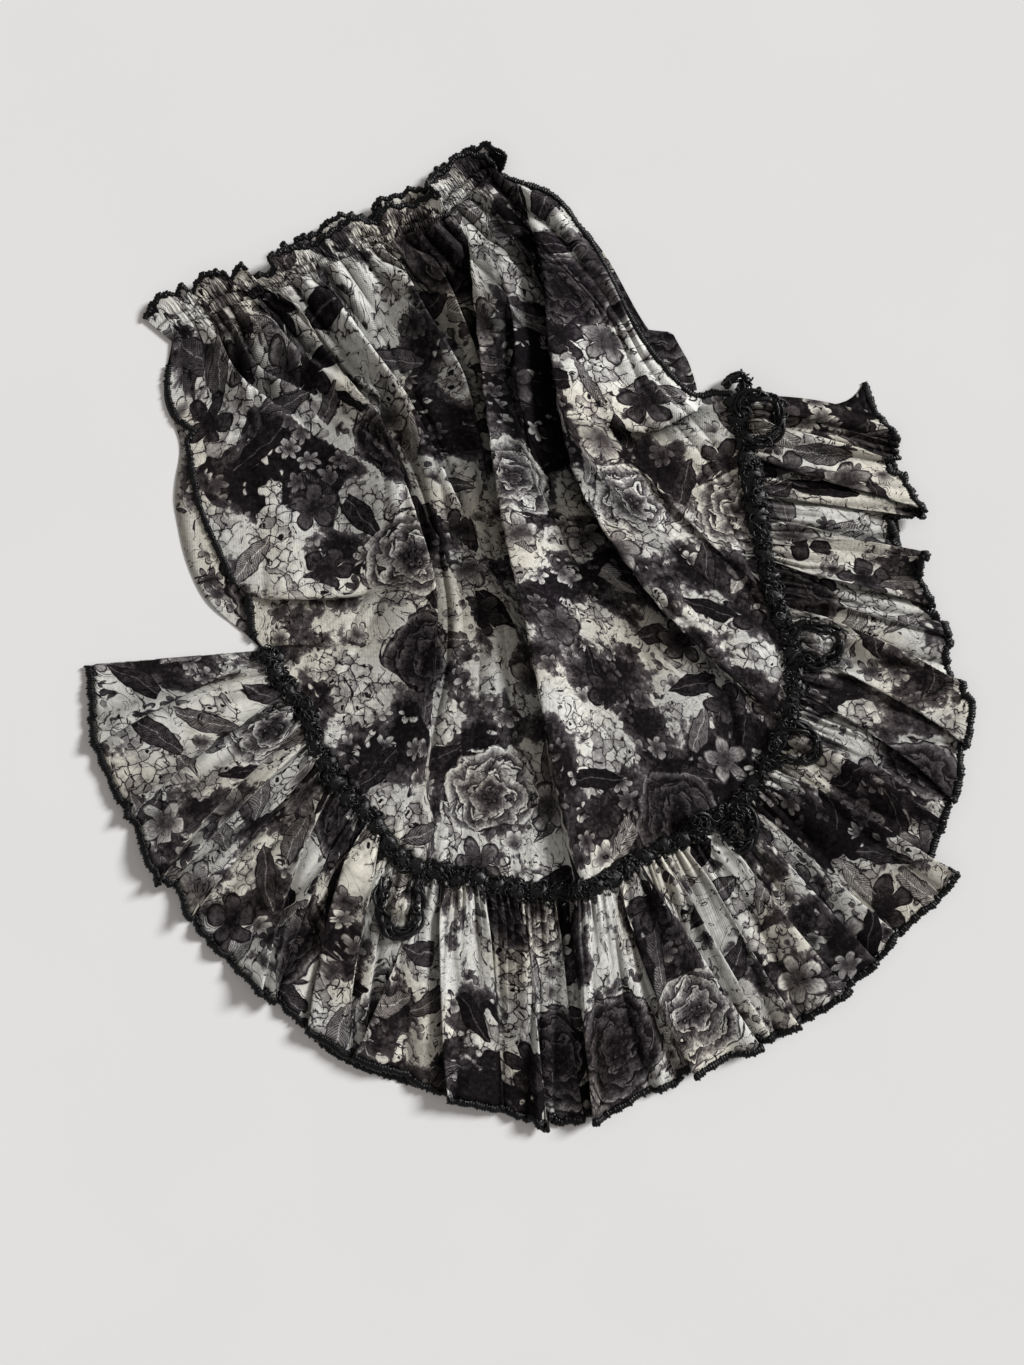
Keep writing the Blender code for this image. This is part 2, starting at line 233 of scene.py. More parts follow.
# The front body's folds. Each has the plan line of its visible edge from the waist down, the reach of
# its slope to the left and to the right (below and above, on a tuck), its heights along the line, how
# far its crest leans over its steeper side, and how much cloth is tucked away beneath that side.
bodyFolds = {
    "flap": {
        "line": ((-120, 178), (-113, 160), (-88, 100), (-68, 30), (-70, -60), (-77, -130)),
        "reach": (60, 9), "heights": (13, 26, 15), "lean": 19, "under": 26},
    "flap roll": {
        "line": ((-152, 196), (-124, 150), (-99, 100), (-84, 50), (-82, -10), (-90, -70)),
        "reach": (14, 5), "heights": (5, 8, 3), "lean": 7, "under": 8},
    "upper left": {
        "line": ((-196, 282), (-158, 222), (-118, 176), (-96, 126), (-78, 88)),
        "reach": (24, 8), "heights": (10, 16, 8), "lean": 13, "under": 18},
    "left twin": {
        "line": ((-165, 290), (-127, 234), (-95, 190), (-60, 118)),
        "reach": (17, 7), "heights": (9, 16, 7), "lean": 11, "under": 18},
    "middle": {
        "line": ((-44, 311), (-31, 190), (-18, 88), (0, -2), (18, -118), (37, -204)),
        "reach": (9, 46), "heights": (15, 25, 15), "lean": 18, "under": 30},
    "short": {
        "line": ((-20, 308), (-8, 254), (-6, 203), (8, 150), (20, 118)),
        "reach": (7, 14), "heights": (10, 17, 5), "lean": 11, "under": 16},
    "long sweep": {
        "line": ((4, 350), (17, 290), (23, 220), (45, 120), (105, 26), (170, -40), (196, -60)),
        "reach": (9, 46), "heights": (13, 25, 10), "lean": 17, "under": 30},
    "sweep twin": {
        "line": ((38, 208), (54, 157), (96, 100), (150, 48)),
        "reach": (6, 15), "heights": (4, 11, 4), "lean": 9, "under": 12},
    "sweep third": {
        "line": ((90, 146), (136, 94), (184, 50)),
        "reach": (6, 13), "heights": (3, 8, 3), "lean": 7, "under": 8},
    "right tuck": {
        "line": ((60, 174), (102, 166), (140, 182), (168, 195)),
        "reach": (9, 28), "heights": (5, 15, 8), "lean": 15, "under": 10},
    "left tuck": {
        "line": ((-240, 27), (-188, 24), (-150, 26), (-120, 34)),
        "reach": (8, 24), "heights": (7, 12, 5), "lean": 15, "under": 10},
    "lower left tuck": {
        "line": ((-224, -11), (-188, -13), (-144, -9)),
        "reach": (6, 15), "heights": (5, 8, 3), "lean": 8, "under": 5},
    "left waist": {
        "line": ((-262, 255), (-238, 212), (-196, 178)),
        "reach": (18, 10), "heights": (8, 12, 3), "lean": 8, "under": 8},
    "second waist": {
        "line": ((-245, 260), (-220, 218), (-173, 195)),
        "reach": (13, 7), "heights": (7, 10, 2), "lean": 7, "under": 8},
    "third waist": {
        "line": ((-220, 279), (-196, 241), (-150, 199), (-112, 152)),
        "reach": (14, 7), "heights": (8, 12, 3), "lean": 9, "under": 12},
    "middle waist": {
        "line": ((-106, 311), (-83, 266), (-52, 214), (-38, 160)),
        "reach": (16, 8), "heights": (10, 16, 5), "lean": 11, "under": 14},
    "inner waist": {
        "line": ((-83, 321), (-60, 279), (-41, 232)),
        "reach": (12, 6), "heights": (8, 11, 3), "lean": 8, "under": 8},
    "right waist": {
        "line": ((-26, 372), (10, 330), (48, 284)),
        "reach": (10, 20), "heights": (8, 12, 4), "lean": 9, "under": 10},
    "far waist": {
        "line": ((-34, 366), (2, 312), (34, 258)),
        "reach": (8, 14), "heights": (8, 11, 3), "lean": 8, "under": 8},
}
foldEndReach = 34
foldPoints = 25                             # how finely a fold's line is followed
tuckEndReach, tuckSpread = 170, 1.5         # past a fold's foot the tucked cloth spreads again, in a fan


def foldsAt(x, y):
    # Lift, plan shift and tucked cloth (along the plan's x and y) that the folds give a point, and how
    # deep in a crease it lies. The higher fold wins, so that valleys between close folds stay open.
    total, shiftX, shiftY, crease = (np.zeros(x.shape) for _ in range(4))
    underX, underY = np.zeros(x.shape), np.zeros(x.shape)
    for fold in bodyFolds.values():
        gap, share, past, leftX, leftY = besideLine(x, y, smoothLine(fold["line"], foldPoints))
        left, right = fold["reach"]
        steepSide = 1 if left < right else -1
        height = through((0.0, 0.5, 1.0), fold["heights"], share)
        grown = height / max(fold["heights"])
        ending = hump(past, foldEndReach)
        gap = gap + steepSide * fold["lean"] * grown * ending      # from the crest, before it leans
        shape = np.where(gap > 0, hump(gap, left), hump(gap, right)) * ending
        weight = (height * shape)**3
        total += weight
        shiftX += weight * leftX * shape * grown * steepSide * fold["lean"]
        shiftY += weight * leftY * shape * grown * steepSide * fold["lean"]
        steep = gap * steepSide / min(left, right)                  # share of the way down the steep side
        beyond = np.where(share < 0.5, 0, past)
        tucked = soft(steep) * steepSide * fold["under"]
        tucked = tucked * hump(beyond, tuckEndReach + tuckSpread * np.abs(gap))
        underX += leftX * tucked
        underY += leftY * tucked
        deep = np.where(steep < 1, soft((steep - 0.35) / 0.65), hump(steep - 1, 1 + height / 7))
        crease = np.maximum(crease, deep * ending * np.minimum(height / 12, 1.0))
    safe = np.maximum(total, 1e-9)
    return np.cbrt(total), shiftX / safe, shiftY / safe, underX, underY, crease


def seamRise(across):
    x, y = seamLine(across)
    return foldsAt(x, y)[0]


def sidePress(across, reach=0.05):          # the side seams hold front and back together
    return soft(np.minimum(across, 1 - across) / reach)


def rowArcs(points):                        # arc length along each row of a grid of points
    steps = np.linalg.norm(np.diff(points, axis=1), axis=2)
    return np.concatenate((np.zeros((len(points), 1)), np.cumsum(steps, axis=1)), axis=1)


def columnArcs(points):
    return rowArcs(points.transpose(1, 0, 2)).T


def toFrame(x, y, z):
    return np.stack(((x - middle[0]) * mm, (y - middle[1]) * mm, z * mm), -1)


def placed(name, data):
    piece = bpy.data.objects.new(name, data)
    bpy.context.scene.collection.objects.link(piece)
    return piece


def clothPiece(name, columns, rows, points, flat, shade, thickness):
    # A sheet over a grid of points (rows, columns, 3) in metres, with its cut's own coordinates.
    # shade, from 0 to 1, is painted shade: it darkens the colour in creases and valleys, where the sheer
    # cloth lies in two layers, and beneath other cloth.
    mesh = bmesh.new()
    bmesh.ops.create_grid(mesh, x_segments=columns, y_segments=rows, size=0.5)
    place = np.array([vertex.co[:2] for vertex in mesh.verts])
    column = np.rint((place[:, 0] + 0.5) * columns).astype(int)
    row = np.rint((0.5 - place[:, 1]) * rows).astype(int)
    data = bpy.data.meshes.new(name)
    mesh.to_mesh(data)
    mesh.free()
    data.vertices.foreach_set("co", points[row, column].astype(np.float32).ravel())
    corners = np.empty(len(data.loops), np.int32)
    data.loops.foreach_get("vertex_index", corners)
    cut = data.uv_layers.new(name="cut")
    cut.data.foreach_set("uv", flat[row, column][corners].astype(np.float32).ravel())
    paintedShade = data.attributes.new("paintedShade", "FLOAT", "POINT")
    shade = np.broadcast_to(np.asarray(shade, np.float32), (rows + 1, columns + 1))
    paintedShade.data.foreach_set("value", shade[row, column].ravel())
    data.update()
    data.shade_smooth()
    data.materials.append(printed)
    piece = placed(name, data)
    wall = piece.modifiers.new("cloth thickness", "SOLIDIFY")
    wall.thickness = thickness * mm
    wall.offset = -1.0
    return piece


def seated(piece, node):
    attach(piece, "root")
    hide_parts(node)
    return piece


def gridShares(columns, rows):
    return np.meshgrid(np.linspace(0, 1, columns + 1), np.linspace(0, 1, rows + 1))


def join(socket, value):
    if isinstance(value, bpy.types.NodeSocket):
        socket.id_data.links.new(value, socket)
    elif value is not None:
        socket.default_value = value


def nodeFor(kind, *values):                 # a new node in the tree that the values come from
    tree = next(value.id_data for value in values if isinstance(value, bpy.types.NodeSocket))
    return tree.nodes.new(kind)


def maths(operation, first, second=None, third=None, clamp=False):
    node = nodeFor("ShaderNodeMath", first, second, third)
    node.operation = operation
    node.use_clamp = clamp
    for socket, value in zip(node.inputs, (first, second, third)):
        join(socket, value)
    return node.outputs[0]


def vectorMaths(operation, first, second=None, scale=None):
    node = nodeFor("ShaderNodeVectorMath", first)
    node.operation = operation
    join(node.inputs[0], first)
    join(node.inputs[1], second)
    if scale is not None:
        join(node.inputs["Scale"], scale)
    return node.outputs["Value" if operation in ("LENGTH", "DISTANCE", "DOT_PRODUCT") else "Vector"]


def noise(place, scale, detail=2.0, roughness=0.5, distortion=0.0, dimensions="2D", colour=False):
    node = nodeFor("ShaderNodeTexNoise", place)
    node.noise_dimensions = dimensions
    join(node.inputs["Vector"], place)
    node.inputs["Scale"].default_value = scale
    node.inputs["Detail"].default_value = detail
    node.inputs["Roughness"].default_value = roughness
    node.inputs["Distortion"].default_value = distortion
    return node.outputs["Color" if colour else "Fac"]


def remap(value, fromLow, fromHigh, toLow=0.0, toHigh=1.0):
    node = nodeFor("ShaderNodeMapRange", value)
    for socket, given in zip(node.inputs, (value, fromLow, fromHigh, toLow, toHigh)):
        join(socket, given)
    return node.outputs[0]


def mixValue(share, first, second):
    node = nodeFor("ShaderNodeMix", share)
    node.data_type = "FLOAT"
    join(node.inputs[0], share)
    join(node.inputs[2], first)
    join(node.inputs[3], second)
    return node.outputs[0]


def mixColour(share, first, second, blend="MIX"):
    node = nodeFor("ShaderNodeMix", share, first)
    node.data_type = "RGBA"
    node.blend_type = blend
    join(node.inputs[0], share)
    join(node.inputs[6], first)
    join(node.inputs[7], second)
    return node.outputs[2]


def ramp(value, stops):
    node = nodeFor("ShaderNodeValToRGB", value)
    marks = node.color_ramp.elements
    while len(marks) < len(stops):
        marks.new(0.5)
    for mark, (position, colour) in zip(marks, stops):
        mark.position = position
        mark.color = (*colour, 1.0)
    join(node.inputs[0], value)
    return node.outputs[0]


def newFinish(name):
    finish = bpy.data.materials.new(name)
    finish.use_nodes = True
    return finish, finish.node_tree, finish.node_tree.nodes["Principled BSDF"]


def scattered(place, size):
    # Motif places, one in each irregular cell: distance and angle from the motif's middle in
    # cells, and three values that differ from motif to motif.
    cells = nodeFor("ShaderNodeTexVoronoi", place)
    cells.voronoi_dimensions = "2D"
    cells.feature = "F1"
    join(cells.inputs["Vector"], place)
    cells.inputs["Scale"].default_value = 1 / size
    cells.inputs["Randomness"].default_value = 0.8
    offset = vectorMaths("SUBTRACT", place, cells.outputs["Position"])
    offset = vectorMaths("SCALE", offset, scale=1 / size)
    parts = nodeFor("ShaderNodeSeparateXYZ", offset)
    join(parts.inputs[0], offset)
    pick = nodeFor("ShaderNodeSeparateColor", place)
    join(pick.inputs[0], cells.outputs["Color"])
    radius = vectorMaths("LENGTH", offset)
    angle = maths("ARCTAN2", parts.outputs[1], parts.outputs[0])
    angle = maths("MULTIPLY_ADD", pick.outputs[0], 6.283, angle)
    return radius, angle, pick.outputs[1], pick.outputs[2]


def petals(under, place, size, count, reach, chance, tones, where=None):
    # Open flowers with a dark outline, veined petals and a dark eye.
    radius, angle, pick, tone = scattered(place, size)
    lobes = maths("ABSOLUTE", maths("COSINE", maths("MULTIPLY", angle, count / 2)))
    lobes = maths("POWER", lobes, 0.6)
    size = maths("MULTIPLY_ADD", pick, 0.12, reach)
    edge = maths("MULTIPLY", maths("MULTIPLY_ADD", lobes, 0.62, 0.38), size)
    inside = maths("SUBTRACT", edge, radius)
    mask = remap(inside, 0.0, 0.02)
    outline = remap(inside, 0.02, 0.07)
    shade = remap(maths("DIVIDE", radius, size), 0.15, 0.8)
    veins = maths("SINE", maths("MULTIPLY", angle, count * 6.0))
    shade = maths("MULTIPLY_ADD", veins, 0.08, shade)
    light = mixValue(tone, tones[0], tones[1])
    shade = maths("MULTIPLY", light, maths("MULTIPLY_ADD", shade, 0.6, 0.4))
    shade = maths("MULTIPLY", shade, maths("MULTIPLY_ADD", outline, 0.75, 0.25))
    present = maths("MULTIPLY", mask, maths("LESS_THAN", pick, chance))
    if where is not None:
        present = maths("MULTIPLY", present, where)
    return mixValue(present, under, shade)


def pebbles(under, place, size, where):
    # Crowded small pale blossoms, each outlined in black, with a few dark eyes.
    border = nodeFor("ShaderNodeTexVoronoi", place)
    cells = nodeFor("ShaderNodeTexVoronoi", place)
    for node, feature in ((border, "DISTANCE_TO_EDGE"), (cells, "F1")):
        node.voronoi_dimensions = "2D"
        node.feature = feature
        node.inputs["Scale"].default_value = 1 / size
        join(node.inputs["Vector"], place)
    inside = border.outputs["Distance"]
    pick = nodeFor("ShaderNodeSeparateColor", place)
    join(pick.inputs[0], cells.outputs["Color"])
    shade = remap(inside, 0.012, 0.075, 0.30, 1.0)
    shade = maths("MULTIPLY", shade, remap(pick.outputs[0], 0.0, 0.7, 0.72, 1.0))
    body = remap(cells.outputs["Distance"], 0.0, 0.55, 1.0, 0.80)
    shade = maths("MULTIPLY", shade, body)
    eye = maths("MULTIPLY", remap(cells.outputs["Distance"], 0.20, 0.13),
                maths("LESS_THAN", pick.outputs[1], 0.16))
    shade = maths("MULTIPLY", shade, maths("MULTIPLY_ADD", eye, -0.85, 1.0))
    return mixValue(where, under, shade)


def blooms(under, place, size, reach, chance):
    # Full blooms: rings of overlapping petals, each dark at its root, with a pale or a dusky head.
    radius, angle, pick, tone = scattered(place, size)
    wobble = noise(place, 70.0, 2.0)
    rings = maths("MULTIPLY_ADD", wobble, 1.3, maths("MULTIPLY", radius, 3.4 / reach))
    number = maths("FLOOR", rings)
    turn = maths("MULTIPLY_ADD", number, 2.1, maths("MULTIPLY", angle, 5.0))
    rings = maths("MULTIPLY_ADD", maths("SINE", turn), 0.22, rings)
    rim = maths("FRACT", rings)
    pale = maths("GREATER_THAN", tone, 0.55)
    low = mixValue(pale, 0.10, 0.30)
    high = mixValue(pale, 0.42, 0.92)
    streaks = noise(place, 420.0, 2.0)
    shade = mixValue(maths("POWER", rim, 1.1), low, high)
    shade = maths("MULTIPLY", shade, remap(streaks, 0.3, 0.7, 0.75, 1.12))
    shade = maths("MULTIPLY", shade, remap(rim, 0.0, 0.10, 0.35, 1.0))
    shade = maths("MULTIPLY", shade, remap(radius, 0.02, 0.16, 0.35, 1.0))
    border = maths("MULTIPLY_ADD", maths("COSINE", turn), 0.07 * reach, reach)
    inside = maths("SUBTRACT", border, radius)
    edgeGlow = maths("MULTIPLY", remap(inside, 0.09, 0.035), remap(inside, 0.012, 0.03))
    shade = maths("MULTIPLY_ADD", edgeGlow, 0.22, shade)
    shade = maths("MULTIPLY", shade, remap(inside, 0.005, 0.02, 0.3, 1.0))
    present = maths("MULTIPLY", remap(inside, 0.0, 0.012), maths("LESS_THAN", pick, chance))
    return mixValue(present, under, shade)


def leaves(under, place, size, reach, width, chance, tones):
    # Pointed leaves with a midrib and slanting veins.
    radius, angle, pick, tone = scattered(place, size)
    along = maths("MULTIPLY", radius, maths("COSINE", angle))
    aside = maths("ABSOLUTE", maths("MULTIPLY", radius, maths("SINE", angle)))
    share = maths("DIVIDE", along, reach)
    half = maths("SUBTRACT", 1.0, maths("MULTIPLY", share, share))
    inside = maths("SUBTRACT", maths("MULTIPLY", half, width), aside)
    mask = remap(inside, 0.0, 0.012)
    slant = maths("MULTIPLY_ADD", aside, 1.3, maths("MULTIPLY", along, -1.0))
    veins = maths("SINE", maths("MULTIPLY", slant, 120.0))
    shade = mixValue(tone, tones[0], tones[1])
    shade = maths("MULTIPLY", shade, maths("MULTIPLY_ADD", veins, 0.2, 0.8))
    shade = maths("ADD", shade, remap(aside, 0.016, 0.004, 0.0, 0.25))
    shade = maths("MULTIPLY", shade, remap(inside, 0.012, 0.035, 0.3, 1.0))
    present = maths("MULTIPLY", mask, maths("LESS_THAN", pick, chance))
    return mixValue(present, under, shade)


printedMesh = {
    "tones": ((0.0, (0.0028, 0.0022, 0.0027)), (0.18, (0.014, 0.0115, 0.0135)),
              (0.42, (0.082, 0.073, 0.077)), (0.66, (0.30, 0.288, 0.283)),
              (0.85, (0.62, 0.62, 0.58)), (1.0, (0.76, 0.76, 0.71))),
    "cream": (1.0, 0.962, 0.89),
    "roughness": 0.95,
    "gloss": 0.06,
    "threadsAcross": 900, "twill": 560,     # threads and slanting lines a metre
    "relief": 0.00012,
    "paleFrom": 0.20, "paleTo": 0.36, "palerBy": 0.15,      # the ground pales toward the waist,
    "bodyEnds": 0.6,                        # and only on the body's part of the cut, in metres up the skirt
    "paintedShade": 0.14,                        # how dark the painted shade makes the cloth in creases, valleys and beneath other cloth
}


def printedMeshFinish():
    # A collage of blooms, leaves and worn patches on fine mesh, over the cut's own coordinates.
    finish, tree, shader = newFinish("printed mesh")
    flat = tree.nodes.new("ShaderNodeUVMap")
    flat.uv_map = "cut"
    place = flat.outputs[0]
    drift = noise(place, 45.0, 2.0, colour=True)
    drift = vectorMaths("SUBTRACT", drift, (0.5, 0.5, 0.5))
    warped = vectorMaths("ADD", place, vectorMaths("SCALE", drift, scale=0.010))
    curl = noise(place, 130.0, 2.0, colour=True)
    curl = vectorMaths("SCALE", vectorMaths("SUBTRACT", curl, (0.5, 0.5, 0.5)), scale=0.007)
    curled = vectorMaths("ADD", warped, curl)
    region = noise(place, 7.0, 1.0)
    parts = tree.nodes.new("ShaderNodeSeparateXYZ")
    join(parts.inputs[0], place)
    upSkirt = maths("MULTIPLY", parts.outputs[1], 0.89)
    upSkirt = maths("MULTIPLY_ADD", parts.outputs[0], -0.45, upSkirt)
    nearWaist = remap(upSkirt, printedMesh["paleFrom"], printedMesh["paleTo"])
    nearWaist = maths("MULTIPLY", nearWaist, maths("LESS_THAN", upSkirt, printedMesh["bodyEnds"]))
    ground = noise(place, 16.0, 7.0, 0.62)
    ground = maths("MULTIPLY_ADD", maths("SUBTRACT", region, 0.5), 1.0, ground)
    ground = maths("MULTIPLY_ADD", nearWaist, printedMesh["palerBy"], ground)
    value = ramp(ground, ((0.0, (0.06,) * 3), (0.36, (0.14,) * 3), (0.46, (0.34,) * 3),
                                (0.50, (0.50,) * 3), (0.525, (0.84,) * 3), (1.0, (1.0,) * 3)))
    clusters = noise(place, 15.0, 3.0, 0.6)
    clusters = maths("MULTIPLY_ADD", nearWaist, 0.06, clusters)
    value = pebbles(value, curled, 0.0105, remap(clusters, 0.55, 0.565))
    sprigs = remap(clusters, 0.47, 0.455)
    value = petals(value, warped, 0.025, 6, 0.44, 0.85, (0.35, 0.92), where=sprigs)
    value = leaves(value, warped, 0.050, 0.62, 0.20, 0.50, (0.12, 0.78))
    value = petals(value, warped, 0.058, 5, 0.40, 0.30, (0.26, 0.9))
    value = blooms(value, warped, 0.115, 0.40, 0.25)
    worn = noise(place, 220.0, 4.0, 0.65)
    value = maths("MULTIPLY_ADD", maths("SUBTRACT", worn, 0.5), 0.5, value, clamp=True)
    strokes = noise(place, 34.0, 3.0, distortion=1.5)
    strokes = maths("ABSOLUTE", maths("SUBTRACT", strokes, 0.5))
    value = maths("MULTIPLY", value, remap(strokes, 0.004, 0.012, 0.25, 1.0))
    colour = ramp(value, printedMesh["tones"])
    warm = remap(noise(place, 9.0, 1.0), 0.45, 0.62)
    creamed = mixColour(1.0, colour, (*printedMesh["cream"], 1.0), "MULTIPLY")
    colour = mixColour(warm, colour, creamed)
    turn = printedMesh["threadsAcross"] * 2 * math.pi
    weft = maths("SINE", maths("MULTIPLY", parts.outputs[1], turn))
    warp = maths("SINE", maths("MULTIPLY", parts.outputs[0], turn * 0.8))
    weave = maths("ADD", weft, maths("MULTIPLY", warp, 0.6))
    slant = maths("MULTIPLY_ADD", parts.outputs[0], 0.55, parts.outputs[1])
    slant = maths("SINE", maths("MULTIPLY", slant, printedMesh["twill"] * 2 * math.pi))
    shadeOfWeave = remap(maths("MULTIPLY_ADD", slant, 1.2, weave), -2.8, 2.8, 0.86, 1.06)
    colour = mixColour(1.0, colour, shadeOfWeave, "MULTIPLY")
    # Painted shade from the mesh: the print darkens in creases, valleys and beneath other cloth.
    paintedShade = tree.nodes.new("ShaderNodeAttribute")
    paintedShade.attribute_name = "paintedShade"
    dim = remap(paintedShade.outputs["Fac"], 0.0, 1.0, 1.0, printedMesh["paintedShade"])
    colour = mixColour(1.0, colour, dim, "MULTIPLY")
    join(shader.inputs["Base Color"], colour)
    shader.inputs["Roughness"].default_value = printedMesh["roughness"]
    shader.inputs["Specular IOR Level"].default_value = printedMesh["gloss"]
    grain = maths("MULTIPLY_ADD", noise(place, 900.0, 2.0), 1.5, weave)
    bump = tree.nodes.new("ShaderNodeBump")
    bump.inputs["Strength"].default_value = 0.6
    bump.inputs["Distance"].default_value = printedMesh["relief"]
    join(bump.inputs["Height"], grain)
    join(shader.inputs["Normal"], bump.outputs[0])
    return finish


# dark and pale: the thread's colour in the hollows and on the strands; the pale is a painted highlight.
blackThread = {"dark": (0.0012, 0.0012, 0.0014), "pale": (0.006, 0.006, 0.0065), "roughness": 0.32}


def blackFinish(name, fuzz, gloss):
    # Black thread: its colour is painted paler on the fine strands, as a highlight, and darker in the
    # hollows between them, as painted shade, unevenly in patches; the bump follows the same strands.
    finish, tree, shader = newFinish(name)
    space = tree.nodes.new("ShaderNodeTexCoord").outputs["Object"]
    strands = noise(space, 1400.0, 3.0, 0.6, dimensions="3D")
    patches = noise(space, 160.0, 2.0, dimensions="3D")
    mixed = maths("MULTIPLY", strands, remap(patches, 0.35, 0.65, 0.5, 1.2))
    colour = ramp(mixed, ((0.3, blackThread["dark"]), (0.72, blackThread["pale"])))
    join(shader.inputs["Base Color"], colour)
    join(shader.inputs["Roughness"], remap(patches, 0.3, 0.7, blackThread["roughness"] - 0.12,
                                                 blackThread["roughness"] + 0.2))
    shader.inputs["Specular IOR Level"].default_value = gloss
    bump = tree.nodes.new("ShaderNodeBump")
    bump.inputs["Strength"].default_value = fuzz
    bump.inputs["Distance"].default_value = 0.0004
    join(bump.inputs["Height"], strands)
    join(shader.inputs["Normal"], bump.outputs[0])
    return finish


printed = printedMeshFinish()
thread = blackFinish("black overlock thread", 0.5, 0.22)
ruche = blackFinish("black ruched trim", 0.6, 0.34)
print("finishes made")


frontBody = {
    "columns": 410, "rows": 118, "thickness": 0.45,
    "underTrim": 3,                         # how far the foot reaches in under the trim's middle
    "gathers": 22, "gatherHeight": 11, "gatherReach": (70, 280), "gatherTuck": 4.5,
    "drapes": 20, "drapeHeight": 4.0,
    "shirring": 130, "shirringHeight": 1.0, "shirringReach": 24,
    "puckers": 86, "puckerHeight": 1.8, "puckerReach": 32,
    "crumple": 0.9,
    "length": 520,                          # from waist to foot, for reaches in shares
    "full": (19, 27),                       # above the first height, folds flatten toward the second
}


def waistGathers(share, span):
    # Ridges that leave the waist, at shares along it, and the cloth tucked away between them.
    count = frontBody["gathers"]
    shape, number = unevenRidges(share, count, 11, 0.62, 0.45)
    picks = np.random.default_rng(12)
    heights = frontBody["gatherHeight"] * picks.uniform(0.45, 1.3, count)
    reaches = picks.uniform(*frontBody["gatherReach"], count)
    tucks = frontBody["gatherTuck"] * picks.uniform(0.5, 1.8, count)
    fade = 1 - soft(span / reaches[number])
    rise = shape * heights[number] * fade
    valley = (1 - shape)**1.5 * fade
    tucked = np.zeros(rise.shape)
    for index in range(count):
        tucked = tucked + tucks[index] * (1 - soft(span / reaches[index] / 1.6)) * ((number > index) - 0.5)
    return rise, tucked, valley


def shirring(across, count, seed):
    shape, number = unevenRidges(across, count, seed, 0.8, 0.4)
    return shape * np.random.default_rng(seed + 1).uniform(0.4, 1.4, count)[number]


def gatherRise(across, span):               # all that leaves the waist, where the body meets its casing
    rise, tucked, valley = waistGathers(waistShare(across), span)
    fine = shirring(waistShare(across), frontBody["shirring"], 21) * frontBody["shirringHeight"]
    return rise + fine * (1 - soft(span / frontBody["shirringReach"])), tucked, valley


def pressed(rise):
    start, full = frontBody["full"]
    return np.where(rise > start, start + (full - start) * np.tanh((rise - start) / (full - start)), rise)


def bodyFrontPoints(across, down):
    x, y = planOfBody(across, down)
    rightX, rightY = outward(seamLine, across)
    draw = down**2 * frontBody["underTrim"]
    x, y = x - rightX * draw, y - rightY * draw
    x = x + straight(leftEdge, down) * (1 - soft(across / 0.06))
    lift, shiftX, shiftY, underX, underY, crease = foldsAt(x, y)
    foot = down**5
    free = (1 - foot) * soft(down / 0.06) * sidePress(across, 0.03)
    gathers, tucked, valley = gatherRise(across, down * frontBody["length"])
    puckers = shirring(across, frontBody["puckers"], 31) * frontBody["puckerHeight"]
    puckers = puckers * soft(1 - (1 - down) * frontBody["length"] / frontBody["puckerReach"])
    rise = lift * (1 - foot) * soft(down / 0.12) + seamRise(across[0])[None, :] * foot
    bent = evenShare(across) + 0.012 * np.sin(down * 7)
    drapes, number = unevenRidges(bent, frontBody["drapes"], 15, 0.8, 0.4)
    heights = np.random.default_rng(16).uniform(0.2, 1.3, frontBody["drapes"])[number]
    heights = heights * frontBody["drapeHeight"]
    rise = rise + drapes * heights * soft(down / 0.25) * (1 - 0.6 * foot)
    rise = rise + gathers + puckers
    rise = rise + frontBody["crumple"] * rumple(x, y, 46, 41) * free
    rise = rise + frontBody["crumple"] * 0.5 * rumple(x, y, 19, 42) * free
    x, y = x + shiftX * free, y + shiftY * free
    z = frontRest + pressed(np.maximum(rise, 0.0)) * sidePress(across)
    flat = (x + underX + alongWaist[0] * tucked, y + underY + alongWaist[1] * tucked)
    # Painted shade: darker deep in the folds' creases, in the waist gathers' valleys and between the larger
    # drapes.
    drapeShade = 0.25 * (1 - drapes)**2 * (heights > 2)              # painted shade in the valleys between the larger drapes
    shade = 1 - (1 - crease * free) * (1 - 0.75 * valley) * (1 - drapeShade)
    return x, y, z, flat, shade


def makeBodyFront():
    columns, rows = frontBody["columns"], frontBody["rows"]
    across, down = gridShares(columns, rows)
    x, y, z, flat, shade = bodyFrontPoints(evenColumns(across), down)
    points = toFrame(x, y, z)
    flat = np.stack(flat, -1) * mm
    piece = clothPiece("bodyFront", columns, rows, points, flat, shade, frontBody["thickness"])
    seated(piece, "body_front")
    return points, flat[0], evenColumns(across[0])


backBody = {
    "columns": 130, "rows": 70, "thickness": 0.4,
    "height": 0.75, "crumple": 0.35,        # it lies flat near the floor
    "shade": 0.12,                          # painted shade: a little darker than the front, as it lies in the front's shadow beneath it
    "cutFrom": (1.7, 0.3),                  # where its cut starts on the print, in metres
}


def bodyBackPoints(across, down):
    x, y = planOfBody(across, down)
    leftX, leftY = outward(lambda share: planOfBody(0.0, share), down)
    rightX, rightY = outward(lambda share: planOfBody(1.0, share), down)
    toLeft = through(stations, backShowsLeft, down) * (1 - soft(across / 0.2))
    toRight = straight(backShowsRight, down) * soft((across - 0.8) / 0.2)
    x = x + leftX * toLeft - rightX * toRight
    y = y + leftY * toLeft - rightY * toRight
    seamX, seamY = outward(seamLine, across)
    x, y = x - seamX * down**2 * 2, y - seamY * down**2 * 2
    z = backBody["height"] + backBody["crumple"] * np.clip(rumple(x, y, 60, 51), -1, 1)
    return x, y, z


def makeBodyBack():
    columns, rows = backBody["columns"], backBody["rows"]
    across, down = gridShares(columns, rows)
    x, y, z = bodyBackPoints(across, down)
    points = toFrame(x, y, z)
    flat = points[:, :, :2] + backBody["cutFrom"]
    piece = clothPiece("bodyBack", columns, rows, points, flat, backBody["shade"], backBody["thickness"])
    seated(piece, "body_back")


makeBodyBack()
bodyPoints, bodyTopFlat, bodyTopShares = makeBodyFront()
print("body made")


